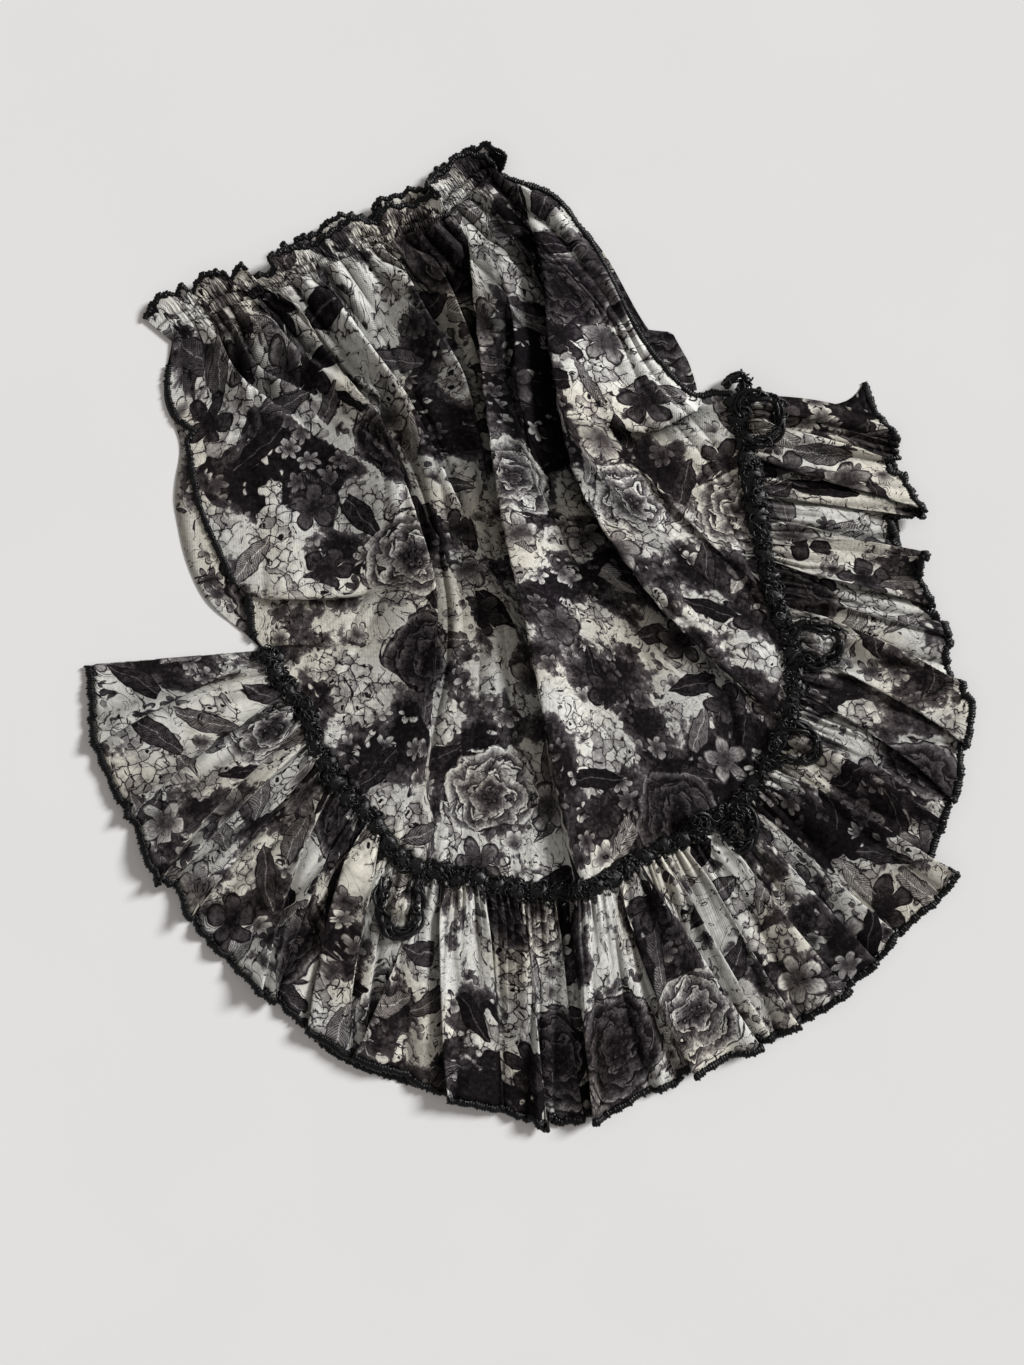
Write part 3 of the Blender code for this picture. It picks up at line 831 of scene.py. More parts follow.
# The front flounce's pleats: where each starts on the seam and ends on the hem (shares), height in
# millimetres, the side that it lies over (1 towards the right seam), the share its gentle side
# takes, and how far its end of the hem stands out.
pleats = (
    (0.005, 0.031, 4, 1, 0.020, 0), (0.039, 0.065, 6, 1, 0.024, 1), (0.071, 0.093, 9, 1, 0.026, 5),
    (0.088, 0.100, 5, 1, 0.010, 0), (0.107, 0.117, 9, 1, 0.016, 2), (0.133, 0.170, 6, 1, 0.016, 0),
    (0.155, 0.181, 9, 1, 0.020, 4), (0.187, 0.215, 8, -1, 0.014, 3), (0.203, 0.231, 9, 1, 0.014, 3),
    (0.225, 0.240, 5, 1, 0.010, 0), (0.262, 0.246, 7, -1, 0.018, 2), (0.278, 0.293, 9, -1, 0.024, 3),
    (0.315, 0.318, 5, 1, 0.012, 0), (0.345, 0.363, 10, 1, 0.028, 5), (0.383, 0.395, 6, 1, 0.016, 1),
    (0.402, 0.412, 9, -1, 0.022, 3), (0.450, 0.475, 9, -1, 0.015, 2), (0.472, 0.501, 10, 1, 0.018, 6),
    (0.494, 0.512, 5, 1, 0.010, 0), (0.516, 0.528, 7, 1, 0.014, 2), (0.550, 0.560, 9, 1, 0.022, 4),
    (0.580, 0.580, 6, 1, 0.012, 0), (0.592, 0.598, 5, 1, 0.012, 0), (0.630, 0.640, 11, 1, 0.030, 12),
    (0.668, 0.662, 5, 1, 0.014, 0), (0.710, 0.683, 9, -1, 0.026, 3), (0.750, 0.712, 6, -1, 0.018, 0),
    (0.790, 0.742, 10, 1, 0.030, 8), (0.800, 0.785, 5, 1, 0.016, 0), (0.840, 0.820, 8, -1, 0.024, 4),
    (0.853, 0.852, 5, 1, 0.012, 0), (0.877, 0.860, 9, 1, 0.018, 6), (0.905, 0.908, 8, -1, 0.016, 8),
    (0.942, 0.917, 8, -1, 0.022, 4), (0.970, 0.948, 5, 1, 0.016, 0), (0.990, 0.972, 4, -1, 0.014, 0),
)
frontFlounce = {
    "columns": 1240, "rows": 38, "thickness": 0.4,
    "underTrim": 3,
    "steep": 0.0042,                        # share that a pleat's steep side takes
    "lean": 0.0085,                         # share that its crest leans over that side
    "under": 0.026,                         # cloth tucked away beneath it, in metres
    "fullHeight": 8,                        # a pleat this high leans and tucks in full
    "gathers": 104, "gatherHeight": 3.4, "gatherReach": (0.25, 0.9),
    "fineGathers": 190, "fineHeight": 1.5, "fineReach": (0.12, 0.5),
    "flutes": 52, "fluteHeight": 4.6,
    "stepOut": (-2.6, 3.0), "stepSlant": 4.0,       # how each flute's stretch of hem stands, in millimetres
    "puff": 2.5, "crumple": 0.6,
    "lettuce": 0.55,                        # how far the hem waves
    "cutFrom": (0.4, 2.3),
}
# Where the hem stands in or out, one by one: share along it, millimetres out.
hemStands = (
    (0.000, 0), (0.060, 0), (0.064, 3), (0.120, -1), (0.124, 3), (0.560, 0), (0.640, 4),
    (0.643, -6), (0.700, 0), (0.730, 2), (0.734, -7), (0.775, -2), (0.779, 4), (0.806, 2),
    (0.810, -6), (0.850, 0), (0.862, 3), (0.865, -12), (0.898, -17), (0.901, 4), (0.936, 3),
    (0.939, -8), (0.951, -5), (0.954, 5), (0.972, 3), (1.000, -5),
)
# Where the flounce is drawn up inside the trim's loose loops: plan place, reach, height.
puffs = ((197, 176, 15, 12), (243, -13, 17, 9), (229, -93, 14, 8), (-103, -228, 15, 9))


def flouncePlan(across, down):
    inner = seamLine(across)
    rightX, rightY = outward(seamLine, across)
    startX = inner[0] + rightX * frontFlounce["underTrim"]
    startY = inner[1] + rightY * frontFlounce["underTrim"]
    endX, endY = hemLine(across)
    return startX + (endX - startX) * down, startY + (endY - startY) * down


def hemWave(across):
    return (np.sin(across * 2 * np.pi * 97 + 2.0 * np.sin(across * 2 * np.pi * 11))
            + 0.6 * np.sin(across * 2 * np.pi * 61 + 1.0))


def fluteEdges(number, across):             # shares where a row's flutes begin, and their numbers
    first = np.concatenate(([0], np.flatnonzero(np.diff(number)) + 1))
    return across[first], number[first].astype(float)


def flounceFrontPoints(across, down):
    lift, shift, step, tucked, crease = (np.zeros(across.shape) for _ in range(5))
    for seamShare, hemShare, height, side, gentle, stand in pleats:
        crest = seamShare + (hemShare - seamShare) * down
        offset = (across - crest) * side
        shape = np.where(offset > 0, hump(offset, frontFlounce["steep"]), hump(offset, gentle))
        grow = soft((down + 0.06) / 0.3) * (0.75 + 0.25 * np.sin(down * 3.0 + seamShare * 40))
        size = min(height / frontFlounce["fullHeight"], 1.0)
        lift += height * shape * grow
        shift += side * frontFlounce["lean"] * shape * grow * size
        step += stand * shape * down**3
        steep = offset / frontFlounce["steep"]
        deep = np.where(steep < 1, soft((steep - 0.3) / 0.7), hump(steep - 1, 1.6))
        crease = np.maximum(crease, deep * grow * size)
        tucked += side * frontFlounce["under"] * soft(steep) * size
    press = sidePress(across, 0.02)
    x, y = flouncePlan(np.clip(across + shift * press, 0, 1), down)
    gatherShape, number = unevenRidges(across, frontFlounce["gathers"], 61, 0.8, 0.45)
    picks = np.random.default_rng(62)
    heights = picks.uniform(0.5, 1.4, frontFlounce["gathers"]) * frontFlounce["gatherHeight"]
    reaches = picks.uniform(*frontFlounce["gatherReach"], frontFlounce["gathers"])
    gathers = gatherShape * heights[number] * (1 - soft(down / reaches[number]))
    fineShape, number = unevenRidges(across, frontFlounce["fineGathers"], 65, 0.8, 0.5)
    reaches = picks.uniform(*frontFlounce["fineReach"], frontFlounce["fineGathers"])
    gathers = gathers + fineShape * frontFlounce["fineHeight"] * (1 - soft(down / reaches[number]))
    bend = 0.006 * np.sin(down * 2.5 + across * 30)
    fluteShape, number = unevenRidges(np.clip(across + bend, 0, 1), frontFlounce["flutes"], 63, 0.9, 0.35)
    heights = picks.uniform(0.25, 1.4, frontFlounce["flutes"]) * frontFlounce["fluteHeight"]
    flutes = fluteShape * heights[number] * soft(down / 0.5)
    outs = picks.uniform(*frontFlounce["stepOut"], frontFlounce["flutes"])
    slants = picks.uniform(-1, 1, frontFlounce["flutes"]) * frontFlounce["stepSlant"]
    place = np.interp(across, *fluteEdges(number[-1], across[-1])) % 1.0
    step = step + (outs[number] + slants[number] * (place - 0.5)) * soft((down - 0.35) / 0.65)
    step = step + straight(hemStands, across) * soft((down - 0.3) / 0.7)
    lettuce = hemWave(across) * frontFlounce["lettuce"] * soft((down - 0.8) / 0.2)
    puff = frontFlounce["puff"] * np.sin(np.pi * np.clip(down, 0, 1)) ** 0.8
    base = seamRise(across[0])[None, :] * (1 - soft(down / 0.75))
    rise = base + lift + gathers + flutes + puff + 0.6 * lettuce
    rise = rise + frontFlounce["crumple"] * rumple(x, y, 30, 64)
    endX, endY = hemLine(across)
    startX, startY = seamLine(across)
    length = np.hypot(endX - startX, endY - startY)
    radialX, radialY = (endX - startX) / length, (endY - startY) / length
    out = step + lettuce * 0.7
    x, y = x + radialX * out, y + radialY * out
    y = y + 5 * soft((across - 0.95) / 0.05) * np.sin(np.pi * down)      # its right end rounds upward
    z = frontRest + np.maximum(rise, 0.0) * press
    for puffX, puffY, reach, height in puffs:
        z = z + height * hump(np.hypot(x - puffX, y - puffY), reach)
    # Painted shade: darker in the valleys between flutes and gathers and in the pleats' creases.
    valleys = 0.6 * (1 - fluteShape)**2 * soft(down / 0.5)
    valleys = valleys + 0.7 * (1 - gatherShape)**1.5 * (1 - soft(down / 0.6))
    valleys = valleys + 0.45 * (1 - fineShape)**2 * (1 - soft(down / 0.35))
    shade = 1 - (1 - np.clip(crease, 0, 1)) * (1 - np.clip(valleys, 0, 0.8))
    return x, y, z, tucked, shade


def makeFlounceFront():
    columns, rows = frontFlounce["columns"], frontFlounce["rows"]
    across, down = gridShares(columns, rows)
    x, y, z, tucked, shade = flounceFrontPoints(across, down)
    points = toFrame(x, y, z)
    hemArc = rowArcs(points[-6:-5])[0]
    along = hemArc[None, :] + tucked
    flat = np.stack((along, columnArcs(points)), -1) + frontFlounce["cutFrom"]
    piece = clothPiece("flounceFront", columns, rows, points, flat, shade, frontFlounce["thickness"])
    seated(piece, "flounce_front")
    return points


backFlounce = {
    "columns": 420, "rows": 16, "thickness": 0.4,
    "gathers": 70, "height": 0.45, "gatherHeight": 0.65,
    "corner": (-12, 26),                    # its right end corner stands up past the front's
    "cutFrom": (0.9, 3.1),
}


def flounceBackPoints(across, down):
    startX, startY = seamLine(across)
    rightX, rightY = outward(seamLine, across)
    startX, startY = startX + rightX * 2, startY + rightY * 2
    shows = through(picked(hemRows, 0), picked(hemRows, 2), across)
    hemX, hemY = outward(hemLine, across)
    endX, endY = hemLine(across)
    endX, endY = endX + hemX * shows, endY + hemY * shows
    corner = soft((across - 0.94) / 0.06) * down**5
    x = startX + (endX - startX) * down + backFlounce["corner"][0] * corner
    y = startY + (endY - startY) * down + backFlounce["corner"][1] * corner
    shape, number = unevenRidges(across, backFlounce["gathers"], 71, 1.0, 0.4)
    heights = np.random.default_rng(72).uniform(0.3, 1.0, backFlounce["gathers"])
    return x, y, backFlounce["height"] + backFlounce["gatherHeight"] * shape * heights[number]


def makeFlounceBack():
    columns, rows = backFlounce["columns"], backFlounce["rows"]
    across, down = gridShares(columns, rows)
    points = toFrame(*flounceBackPoints(across, down))
    flat = np.stack((rowArcs(points[-1:]).repeat(rows + 1, 0), columnArcs(points)), -1)
    flat = flat + backFlounce["cutFrom"]
    # Painted shade beneath the front flounce, darkest at the right end corner, in the front's shadow.
    shade = backBody["shade"] + 0.6 * soft((across - 0.94) / 0.06)
    piece = clothPiece("flounceBack", columns, rows, points, flat, shade, backFlounce["thickness"])
    seated(piece, "flounce_back")
    return points


flouncePoints = makeFlounceFront()
flounceBackGrid = makeFlounceBack()
print("flounce made")


# Frill edges: share along the waist, plan place, height.
frontFrill = (
    (0.000, (-316, 261), 3), (0.020, (-311, 270), 6), (0.055, (-301, 279), 8), (0.095, (-289, 281), 4),
    (0.115, (-284, 286), 7), (0.140, (-275, 283), 4), (0.165, (-268, 293), 8), (0.230, (-249, 297), 7),
    (0.255, (-242, 293), 4), (0.272, (-237, 301), 9), (0.288, (-231, 301), 10), (0.302, (-228, 296), 6),
    (0.335, (-217, 296), 5), (0.362, (-206, 300), 7), (0.378, (-209, 308), 12), (0.420, (-191, 317), 8),
    (0.470, (-176, 321), 5), (0.520, (-163, 328), 8), (0.560, (-153, 335), 7), (0.600, (-140, 342), 9),
    (0.635, (-124, 340), 4), (0.670, (-114, 351), 9), (0.730, (-94, 353), 6), (0.770, (-81, 359), 8),
    (0.800, (-69, 359), 12), (0.822, (-76, 364), 15), (0.840, (-77, 370), 11), (0.870, (-70, 379), 8),
    (0.900, (-63, 383), 7), (0.920, (-60, 388), 9), (0.950, (-50, 395), 8), (0.970, (-42, 396), 7),
    (0.985, (-32, 394), 7), (1.000, (-22, 387), 5),
)
backFrill = (
    (0.000, (-310, 262), 1), (0.060, (-297, 274), 2), (0.140, (-268, 286), 2), (0.230, (-244, 292), 2),
    (0.300, (-222, 294), 2), (0.350, (-205, 303), 3), (0.385, (-199, 321), 6), (0.405, (-194, 319), 3),
    (0.430, (-186, 327), 6), (0.465, (-177, 329), 4), (0.500, (-167, 336), 5), (0.530, (-156, 344), 7),
    (0.575, (-142, 346), 5), (0.610, (-127, 344), 4), (0.640, (-122, 356), 7), (0.690, (-104, 362), 6),
    (0.730, (-93, 367), 7), (0.770, (-82, 367), 5), (0.800, (-79, 374), 6), (0.840, (-71, 383), 6),
    (0.880, (-61, 390), 5), (0.910, (-56, 395), 5), (0.945, (-40, 400), 9), (0.965, (-32, 403), 10),
    (0.980, (-24, 400), 9), (0.992, (-16, 393), 7), (1.000, (-20, 387), 5),
)
waistBand = {
    "thickness": 0.45,
    "columns": 1100, "rows": 34, "backColumns": 600, "backRows": 18,
    "stitchLines": (0.44, 0.72),            # shares down from the frill's edge
    "shirring": 150, "shirringHeight": 1.5,
    "smallWaves": 38, "smallSize": 0.9,
}


def waistPoints(share, down, frill, base, low):
    # From the frill's edge down to the body. low keeps the back's cloth close to the floor.
    across = acrossAtWaist(share)
    footX, footY = waistLine(across)
    edgeX, edgeY = throughPoints(picked(frill, 0), picked(frill, 1), share)
    edgeRise = through(picked(frill, 0), picked(frill, 2), share)
    wave = np.sin(share * 2 * np.pi * waistBand["smallWaves"] + 3 * np.sin(share * 31))
    edgeX = edgeX - 0.45 * wave * waistBand["smallSize"]
    edgeY = edgeY + 0.9 * wave * waistBand["smallSize"]
    standing = 1 - soft(down / waistBand["stitchLines"][0])
    x = footX + (edgeX - footX) * (1 - down)
    y = footY + (edgeY - footY) * (1 - down)
    pinch = np.ones(share.shape)
    for line in waistBand["stitchLines"]:
        pinch = pinch - 0.85 * hump(down - line, 0.09)
    ridges = shirring(share + 0.0012 * np.sin(down * 20), waistBand["shirring"], 81)
    gathers, _, valley = gatherRise(across, 0.0)
    gathers = gathers * low
    rise = ridges * waistBand["shirringHeight"] * low * (0.35 + 0.65 * pinch) * soft(down / 0.35)
    rise = (rise + 2.2 * pinch * low * soft(down / 0.5)) * (1 - soft((down - 0.8) / 0.2))
    rise = rise + gathers * (0.18 + 0.82 * soft((down - 0.66) / 0.34)) * soft(down / 0.5)
    rise = rise + standing * (edgeRise + 0.5 * wave)
    # Painted shade in the gathers' valleys and where the cloth pinches in at the stitched lines; darker
    # along the stitched lines too.
    stitches = sum(hump(down - line, 0.05) for line in waistBand["stitchLines"])
    light = (1 - 0.75 * valley * soft((down - 0.5) / 0.5)) * (1 - 0.7 * stitches)
    shade = 1 - light * (1 - 0.25 * (1 - pinch))
    return x, y, base + rise * sidePress(across) ** (0.3 + 0.7 * down), shade


def makeWaist(name, node, columns, rows, frill, base, low, cutFrom):
    share, down = gridShares(columns, rows)
    x, y, z, shade = waistPoints(share, down, frill, base, low)
    points = toFrame(x, y, z)
    heights = columnArcs(points[::-1])[::-1]
    meet = [np.interp(acrossAtWaist(share), bodyTopShares, bodyTopFlat[:, axis]) for axis in (0, 1)]
    flat = (meet[0] - alongWaist[1] * heights, meet[1] + alongWaist[0] * heights)
    flat = np.stack(flat, -1) + cutFrom
    piece = clothPiece(name, columns, rows, points, flat, shade, waistBand["thickness"])
    seated(piece, node)
    return points


waistGrid = makeWaist("waistFront", "waist_front", waistBand["columns"], waistBand["rows"],
                      frontFrill, frontRest, 1.0, (0, 0))
waistBackGrid = makeWaist("waistBack", "waist_back", waistBand["backColumns"], waistBand["backRows"],
                          backFrill, 0.5, 0.12, (2.9, 1.3))
print("waist made")


def unit(vectors):
    return vectors / np.maximum(np.linalg.norm(vectors, axis=-1, keepdims=True), 1e-12)


def resampled(points, pitch):               # even steps along a line of points
    steps = np.linalg.norm(np.diff(points, axis=0), axis=1)
    arc = np.concatenate(([0.0], np.cumsum(steps)))
    count = max(int(arc[-1] / pitch), 2)
    asked = np.linspace(0, arc[-1], count + 1)
    return np.stack([np.interp(asked, arc, points[:, axis]) for axis in range(3)], 1), asked


def smoothed(points, passes):
    for _ in range(passes):
        points = points.copy()
        points[1:-1] = (points[:-2] + 2 * points[1:-1] + points[2:]) / 4
    return points


def tube(mesh, path, aside, profile):
    # A closed tube along a path. profile (rings, sides, 2) holds how far each corner stands aside
    # and up, in metres.
    rings, sides = len(path) - 1, profile.shape[1]
    tangent = unit(np.gradient(path, axis=0))
    aside = unit(aside - tangent * np.sum(aside * tangent, 1, keepdims=True))
    upward = np.cross(aside, tangent)
    corners = (path[:, None, :] + aside[:, None, :] * profile[:, :, :1]
               + upward[:, None, :] * profile[:, :, 1:])
    part = bmesh.new()
    bmesh.ops.create_grid(part, x_segments=rings, y_segments=sides, size=0.5)
    for vertex in part.verts:
        ring = round((vertex.co.x + 0.5) * rings)
        side = round((vertex.co.y + 0.5) * sides) % sides
        vertex.co = corners[ring, side]
    bmesh.ops.remove_doubles(part, verts=part.verts[:], dist=1e-7)
    bmesh.ops.holes_fill(part, edges=[edge for edge in part.edges if edge.is_boundary], sides=0)
    bmesh.ops.recalc_face_normals(part, faces=part.faces[:])
    data = bpy.data.meshes.new("part")
    part.to_mesh(data)
    part.free()
    mesh.from_mesh(data)
    bpy.data.meshes.remove(data)


def finishedPiece(name, mesh, finish):
    data = bpy.data.meshes.new(name)
    mesh.to_mesh(data)
    mesh.free()
    data.shade_smooth()
    data.materials.append(finish)
    return placed(name, data)


def seatedThread(name, mesh, finish, node):       # nothing reaches under the floor
    for vertex in mesh.verts:
        vertex.co.z = max(vertex.co.z, 0.0002)
    seated(finishedPiece(name, mesh, finish), node)


def stitchedProfile(arc, sides, width, height, pitch, seed):
    # An overlocked edge: each stitch is a ridge across it, and no two are alike.
    picks = np.random.default_rng(seed)
    stitches = int(arc[-1] / pitch) + 2
    size = picks.uniform(0.72, 1.18, stitches)
    lean = picks.uniform(-0.25, 0.25, stitches)
    place = arc / pitch
    number = place.astype(int)
    swell = np.abs(np.sin(np.pi * (place - number))) ** 0.6
    scale = (0.70 + 0.30 * swell) * size[number]
    angle = np.arange(sides) / sides * 2 * np.pi
    profile = np.empty((len(arc), sides, 2))
    halfWidth = width / 2 * scale
    halfHeight = height / 2 * (0.55 + 0.45 * swell) * size[number]
    profile[:, :, 0] = np.cos(angle)[None, :] * halfWidth[:, None] + (lean[number] * width * 0.3)[:, None]
    profile[:, :, 1] = np.sin(angle)[None, :] * halfHeight[:, None]
    return profile


edging = {
    "hem": {"width": 7.4, "height": 3.6, "pitch": 2.3, "sides": 8},
    "hemBack": {"width": 6.4, "height": 1.2, "pitch": 2.4, "sides": 6},
    "waist": {"width": 5.6, "height": 3.4, "pitch": 2.2, "sides": 8},
    "waistBack": {"width": 5.2, "height": 2.6, "pitch": 2.2, "sides": 6},
    "side": {"width": 6.4, "height": 3.2, "pitch": 2.2, "sides": 8},
    "bar": {"width": 8.5, "height": 4.2, "pitch": 2.2, "sides": 8},
}


def edgeTube(mesh, edgeLine, innerLine, size, seed, ringsPerStitch=4, outset=0.35):
    # Follows a cloth's edge, standing a little beyond it. innerLine lies inside the edge.
    path, arc = resampled(edgeLine, size["pitch"] / ringsPerStitch * mm)
    source = np.linspace(0, 1, len(innerLine))
    arcOut = np.concatenate(([0.0], np.cumsum(np.linalg.norm(np.diff(edgeLine, axis=0), axis=1))))
    share = np.interp(arc, arcOut, source)
    innerPath = np.stack([np.interp(share, source, innerLine[:, axis]) for axis in range(3)], 1)
    aside = unit(smoothed(path - innerPath, 6))
    path = path + aside * size["width"] * mm * outset
    path[:, 2] = np.maximum(path[:, 2], size["height"] * 0.6 * mm)
    profile = stitchedProfile(arc, size["sides"], size["width"] * mm, size["height"] * mm,
                              size["pitch"] * mm, seed)
    tube(mesh, smoothed(path, 1), aside, profile)


def makeEdge(name, node, edgeLine, innerLine, size, seed, outset=0.35):
    mesh = bmesh.new()
    edgeTube(mesh, edgeLine, innerLine, size, seed, outset=outset)
    seatedThread(name, mesh, thread, node)


makeEdge("hemEdgeFront", "hem_edge_front", flouncePoints[-1], flouncePoints[-3], edging["hem"], 101)
makeEdge("hemEdgeBack", "hem_edge_back", flounceBackGrid[-1], flounceBackGrid[-2], edging["hemBack"], 102)
makeEdge("waistEdgeFront", "waist_edge_front", waistGrid[0], waistGrid[4], edging["waist"], 103)
makeEdge("waistEdgeBack", "waist_edge_back", waistBackGrid[0], waistBackGrid[2], edging["waistBack"], 104)


def makeSideSeam(name, node, side, inner, seed, stretches):
    mesh = bmesh.new()
    line = bodyPoints[:, side]
    inside = bodyPoints[:, inner]
    for start, end, size in stretches:
        keep = slice(int(len(line) * start), int(len(line) * end))
        edgeTube(mesh, line[keep], inside[keep], edging[size], seed, outset=0.2)
    seatedThread(name, mesh, thread, node)


# The left seam breaks at the tuck, and shows again below it as a short bar.
makeSideSeam("seamLeft", "seam_left", 0, 3, 111, ((0.09, 0.81, "side"), (0.84, 0.98, "bar")))
makeSideSeam("seamRight", "seam_right", -1, -4, 112, ((0.0, 0.98, "side"),))
print("edgings made")


trim = {
    "halfWidth": 8.0, "crown": 4.6, "sides": 14, "pitch": 1.0,
    "sway": 1.6,                            # how far the band wanders from its seam
    "strandPitch": 3.1, "strandHeight": 1.5,
    "curls": 1000, "curlRadius": (1.9, 3.9), "curlThread": 0.58,
    "cords": 8, "cordRadius": (1.2, 1.9),   # the cords of a loose loop
    "ribPitch": 2.9,                        # of the ribs along a cord
    "loopCurls": 14,                        # curls over a loose loop
    "wander": 6,                            # cords that run along the whole band, over its ruching
}


def trimProfile(arc, sides, halfWidth, crown, seed, flat=0.25):
    # A crowned band, ruched across, that widens and narrows unevenly.
    picks = np.random.default_rng(seed)
    pitch = trim["strandPitch"] * mm
    place = arc / pitch
    number = place.astype(int)
    count = number[-1] + 2
    angle = np.arange(sides) / sides * 2 * np.pi
    turns = picks.uniform(-0.5, 0.5, (count, 2))
    heights = picks.uniform(0.2, 1.4, count)
    widths = picks.uniform(0.72, 1.2, count)
    swell = np.abs(np.sin(np.pi * (place[:, None] + turns[number][:, :1] * np.cos(angle)[None, :]
                                   + turns[number][:, 1:] * np.sin(2 * angle)[None, :])))
    waviness = 1 + 0.16 * np.sin(arc * 2 * np.pi / 0.013 + 2 * np.sin(arc * 2 * np.pi / 0.041))
    wide = halfWidth * mm * waviness * widths[number]
    rise = np.sin(angle)
    profile = np.empty((len(arc), sides, 2))
    profile[:, :, 0] = np.cos(angle)[None, :] * wide[:, None] * (0.9 + 0.1 * swell)
    up = np.where(rise > 0, rise**0.8, flat * rise)[None, :] * crown * mm
    relief = trim["strandHeight"] * mm * heights[number][:, None] * swell * np.maximum(rise, 0)[None, :]
    profile[:, :, 1] = up * (1 + 0.2 * np.sin(arc * 2 * np.pi / 0.019))[:, None] + relief
    return profile


def curlTemplate():
    # A short curl of thread, one millimetre in radius.
    mesh = bmesh.new()
    standing = Matrix.Translation((1, 0, 0)) @ Matrix.Rotation(math.pi / 2, 4, "X")
    ring = bmesh.ops.create_circle(mesh, segments=4, radius=trim["curlThread"] / 2, matrix=standing)
    edges = list({edge for vertex in ring["verts"] for edge in vertex.link_edges})
    bmesh.ops.spin(mesh, geom=ring["verts"] + edges, cent=(0, 0, 0), axis=(0, 0, 1),
                   angle=math.radians(290), steps=9, dvec=(0, 0, 0.07))
    bmesh.ops.holes_fill(mesh, edges=[edge for edge in mesh.edges if edge.is_boundary], sides=0)
    bmesh.ops.recalc_face_normals(mesh, faces=mesh.faces[:])
    data = bpy.data.meshes.new("curl")
    mesh.to_mesh(data)
    mesh.free()
    return data


def scatterCurls(mesh, path, aside, halfWidth, crown, count, seed):
    # Tangled cords over a band: curls of uneven size, pressed oval and turned at random.
    picks = np.random.default_rng(seed)
    template = curlTemplate()
    tangent = unit(np.gradient(path, axis=0))
    aside = unit(aside - tangent * np.sum(aside * tangent, 1, keepdims=True))
    upward = np.cross(aside, tangent)
    for _ in range(count):
        ring = picks.integers(0, len(path))
        off = picks.uniform(-1.0, 1.0)
        height = crown * math.sqrt(max(1 - off * off, 0.0)) * picks.uniform(0.7, 1.05) + 0.6
        spot = path[ring] + aside[ring] * off * halfWidth * mm + upward[ring] * height * mm
        radius = picks.uniform(*trim["curlRadius"])
        spot[2] = max(spot[2], (1.0 + 0.5 * radius) * mm)
        turn = (Matrix.Rotation(picks.uniform(0, 6.28), 4, "Z")
                @ Matrix.Rotation(picks.uniform(0.0, 0.9), 4, "X")
                @ Matrix.Diagonal((1.0, picks.uniform(0.45, 1.0), 1.0, 1.0))
                @ Matrix.Rotation(picks.uniform(0, 6.28), 4, "Z"))
        copy = template.copy()
        copy.transform(Matrix.Translation(spot.tolist()) @ turn @ Matrix.Scale(radius * mm, 4))
        mesh.from_mesh(copy)
        bpy.data.meshes.remove(copy)
    bpy.data.meshes.remove(template)


def skein(mesh, path, arc, halfWidth, crown, cords, seed):
    # Several ribbed cords that run side by side, cross and part again.
    picks = np.random.default_rng(seed)
    aside = bandAside(path, 0)
    for cord in range(cords):
        share = (cord + 0.5) / cords * 2 - 1
        wave = picks.uniform(0.018, 0.040)
        off = 0.8 * share + 0.35 * np.sin(arc * 2 * np.pi / wave + picks.uniform(0, 6.28))
        height = crown * (0.55 + 0.45 * np.cos(arc * 2 * np.pi / wave * 0.7 + picks.uniform(0, 6.28)))
        line = path + aside * (off * halfWidth * mm)[:, None]
        line[:, 2] += (height - crown * 0.4) * mm
        ribbing = 0.8 + 0.3 * np.abs(np.sin(arc * np.pi / (trim["ribPitch"] * mm)))
        radius = picks.uniform(*trim["cordRadius"]) * mm * ribbing
        angle = np.arange(6) / 6 * 2 * np.pi
        profile = np.stack((np.cos(angle), np.sin(angle)), -1)[None, :, :] * radius[:, None, None]
        tube(mesh, line, aside, profile)


trimStands = (      # share along the seam, how far the band stands outward there
    (0.00, 0), (0.040, 0), (0.062, -6), (0.098, 3), (0.140, 6), (0.185, 0), (0.235, 5), (0.270, 1),
    (1.0, 0))
# Loose loops of the trim: plan points with heights, half width and crown, in millimetres.
looseLoops = (
    {"line": ((182, 178, 6), (180, 190, 9), (188, 196, 12), (202, 194, 13), (212, 184, 12),
              (213, 170, 10), (205, 160, 9), (193, 157, 8), (184, 163, 6)), "halfWidth": 4.5, "crown": 6},
    {"line": ((168, 205, 4), (174, 211, 8), (182, 213, 8), (185, 206, 6), (180, 200, 4)),
     "halfWidth": 3.6, "crown": 5},
    {"line": ((222, -2, 5), (234, 6, 9), (252, 3, 10), (262, -8, 10), (258, -20, 9),
              (244, -27, 8), (230, -22, 7), (222, -28, 5)), "halfWidth": 4.6, "crown": 6},
    {"line": ((216, -78, 5), (228, -78, 8), (241, -86, 9), (243, -100, 8), (232, -108, 7),
              (218, -106, 6), (212, -112, 5)), "halfWidth": 4.4, "crown": 6},
    {"line": ((172, -152, 5), (182, -150, 9), (190, -158, 10), (190, -170, 10), (182, -178, 9),
              (172, -176, 8), (168, -166, 8), (176, -162, 10)), "halfWidth": 6.5, "crown": 6},
    {"line": ((140, -160, 5), (145, -155, 8), (151, -158, 8), (151, -165, 6)), "halfWidth": 5, "crown": 6},
    {"line": ((-114, -205, 4), (-119, -222, 7), (-117, -240, 9), (-108, -251, 10), (-96, -249, 10),
              (-88, -238, 9), (-87, -222, 7), (-90, -212, 5)), "halfWidth": 5.6, "crown": 6},
)


def bandAside(path, passes):
    tangent = unit(np.gradient(smoothed(path, passes), axis=0))
    return np.stack((tangent[:, 1], -tangent[:, 0], np.zeros(len(path))), 1)


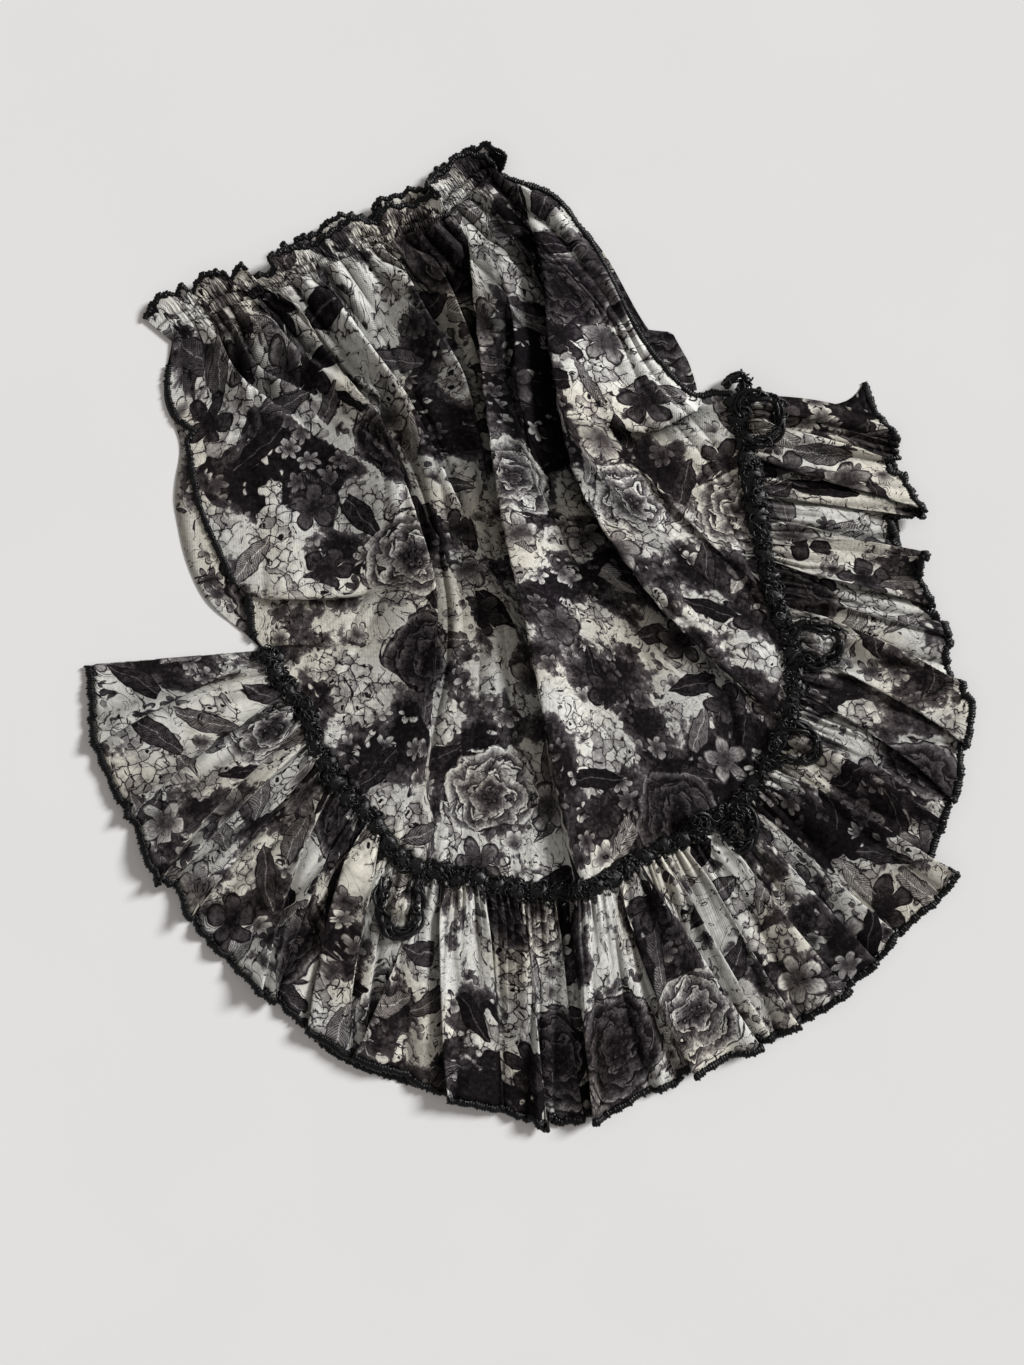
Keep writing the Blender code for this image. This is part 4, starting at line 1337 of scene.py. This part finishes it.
def makeTrimFront():
    mesh = bmesh.new()
    across = np.linspace(0, 1, 1301)
    x, y = seamLine(across)
    rightX, rightY = outward(seamLine, across)
    sway = np.sin(across * 2 * np.pi * 41 + 2 * np.sin(across * 29)) + 0.5 * np.sin(across * 400)
    sway = trim["sway"] * sway + through(*zip(*trimStands), across)
    rise = seamRise(across) * sidePress(across) + 0.8 + 0.8 * np.sin(across * 330)
    path = toFrame(x + rightX * sway, y + rightY * sway, frontRest + rise)
    path, arc = resampled(path, trim["pitch"] * mm)
    aside = bandAside(path, 30)
    profile = trimProfile(arc, trim["sides"], trim["halfWidth"], trim["crown"], 121)
    profile[:, :, 0] *= 1 + 0.35 * soft((arc / arc[-1] - 0.86) / 0.08)[:, None]
    tube(mesh, path, aside, profile)
    scatterCurls(mesh, path, aside, trim["halfWidth"], trim["crown"], trim["curls"], 122)
    longPath, longArc = resampled(path, 2.0 * mm)
    skein(mesh, longPath, longArc, trim["halfWidth"] * 0.9, trim["crown"] + 1.6, trim["wander"], 123)
    for number, loop in enumerate(looseLoops):
        line = loop["line"]
        x, y, z = throughPoints(np.linspace(0, 1, len(line)), line, np.linspace(0, 1, 90))
        loopPath, loopArc = resampled(toFrame(x, y, z), 1.4 * mm)
        skein(mesh, loopPath, loopArc, loop["halfWidth"], loop["crown"], trim["cords"], 130 + number)
        scatterCurls(mesh, loopPath, bandAside(loopPath, 0), loop["halfWidth"], loop["crown"],
                     trim["loopCurls"], 150 + number)
    seatedThread("trimFront", mesh, ruche, "trim_front")


def makeTrimBack():
    mesh = bmesh.new()
    across = np.linspace(0, 1, 400)
    x, y = seamLine(across)
    path, arc = resampled(toFrame(x, y, np.full(across.shape, 0.3)), 1.6 * mm)
    profile = trimProfile(arc, 12, trim["halfWidth"], 0.7, 171)
    profile[:, :, 1] = np.clip(profile[:, :, 1], -0.2 * mm, 1.1 * mm)      # pressed flat
    tube(mesh, path, bandAside(path, 12), profile)
    seatedThread("trimBack", mesh, ruche, "trim_back")


makeTrimFront()
makeTrimBack()
print("trim made")


studio = {
    "floor": (0.82, 0.815, 0.81),
    "keyStrength": 4.15, "keySpread": 15.0, "keyFrom": (0.80, 0.42, 0.48), "keyColour": (0.985, 0.99, 1.0),
    "world": (1.0, 0.955, 0.925), "worldStrength": 0.32,
    "lens": 30.0, "sensor": 36.0, "height": 0.956, "elevation": 90.0, "aim": (-0.0097, -0.033, 0.0),
}


def makeStudio():
    mesh = bmesh.new()
    bmesh.ops.create_grid(mesh, x_segments=1, y_segments=1, size=3.0)
    bmesh.ops.translate(mesh, verts=mesh.verts[:], vec=(0, 0, -0.0004))
    finish, tree, shader = newFinish("pale floor")
    grain = noise(tree.nodes.new("ShaderNodeTexCoord").outputs["Object"], 6.0, 3.0, dimensions="3D")
    shade = ramp(grain, ((0.3, [v * 0.985 for v in studio["floor"]]), (0.7, studio["floor"])))
    join(shader.inputs["Base Color"], shade)
    shader.inputs["Roughness"].default_value = 0.9
    shader.inputs["Specular IOR Level"].default_value = 0.2
    floor = finishedPiece("floor", mesh, finish)
    key = bpy.data.lights.new("window light", "SUN")
    key.energy = studio["keyStrength"]
    key.angle = math.radians(studio["keySpread"])
    key.color = studio["keyColour"]
    keyPiece = placed("window light", key)
    keyPiece.rotation_euler = (-Vector(studio["keyFrom"])).to_track_quat("-Z", "Y").to_euler()
    world = bpy.data.worlds.new("soft room")
    world.use_nodes = True
    background = world.node_tree.nodes["Background"]
    background.inputs["Color"].default_value = (*studio["world"], 1.0)
    background.inputs["Strength"].default_value = studio["worldStrength"]
    bpy.context.scene.world = world
    bpy.context.scene.view_settings.view_transform = "Standard"
    camera = placed("camera", bpy.data.cameras.new("camera"))
    camera.data.lens = studio["lens"]
    camera.data.sensor_width = studio["sensor"]
    tilt = math.radians(90 - studio["elevation"])
    back = Vector((0, -math.sin(tilt), math.cos(tilt)))
    camera.location = Vector(studio["aim"]) + back * studio["height"]
    camera.rotation_euler = (tilt, 0, 0)
    bpy.context.scene.camera = camera


makeStudio()
print("studio made")
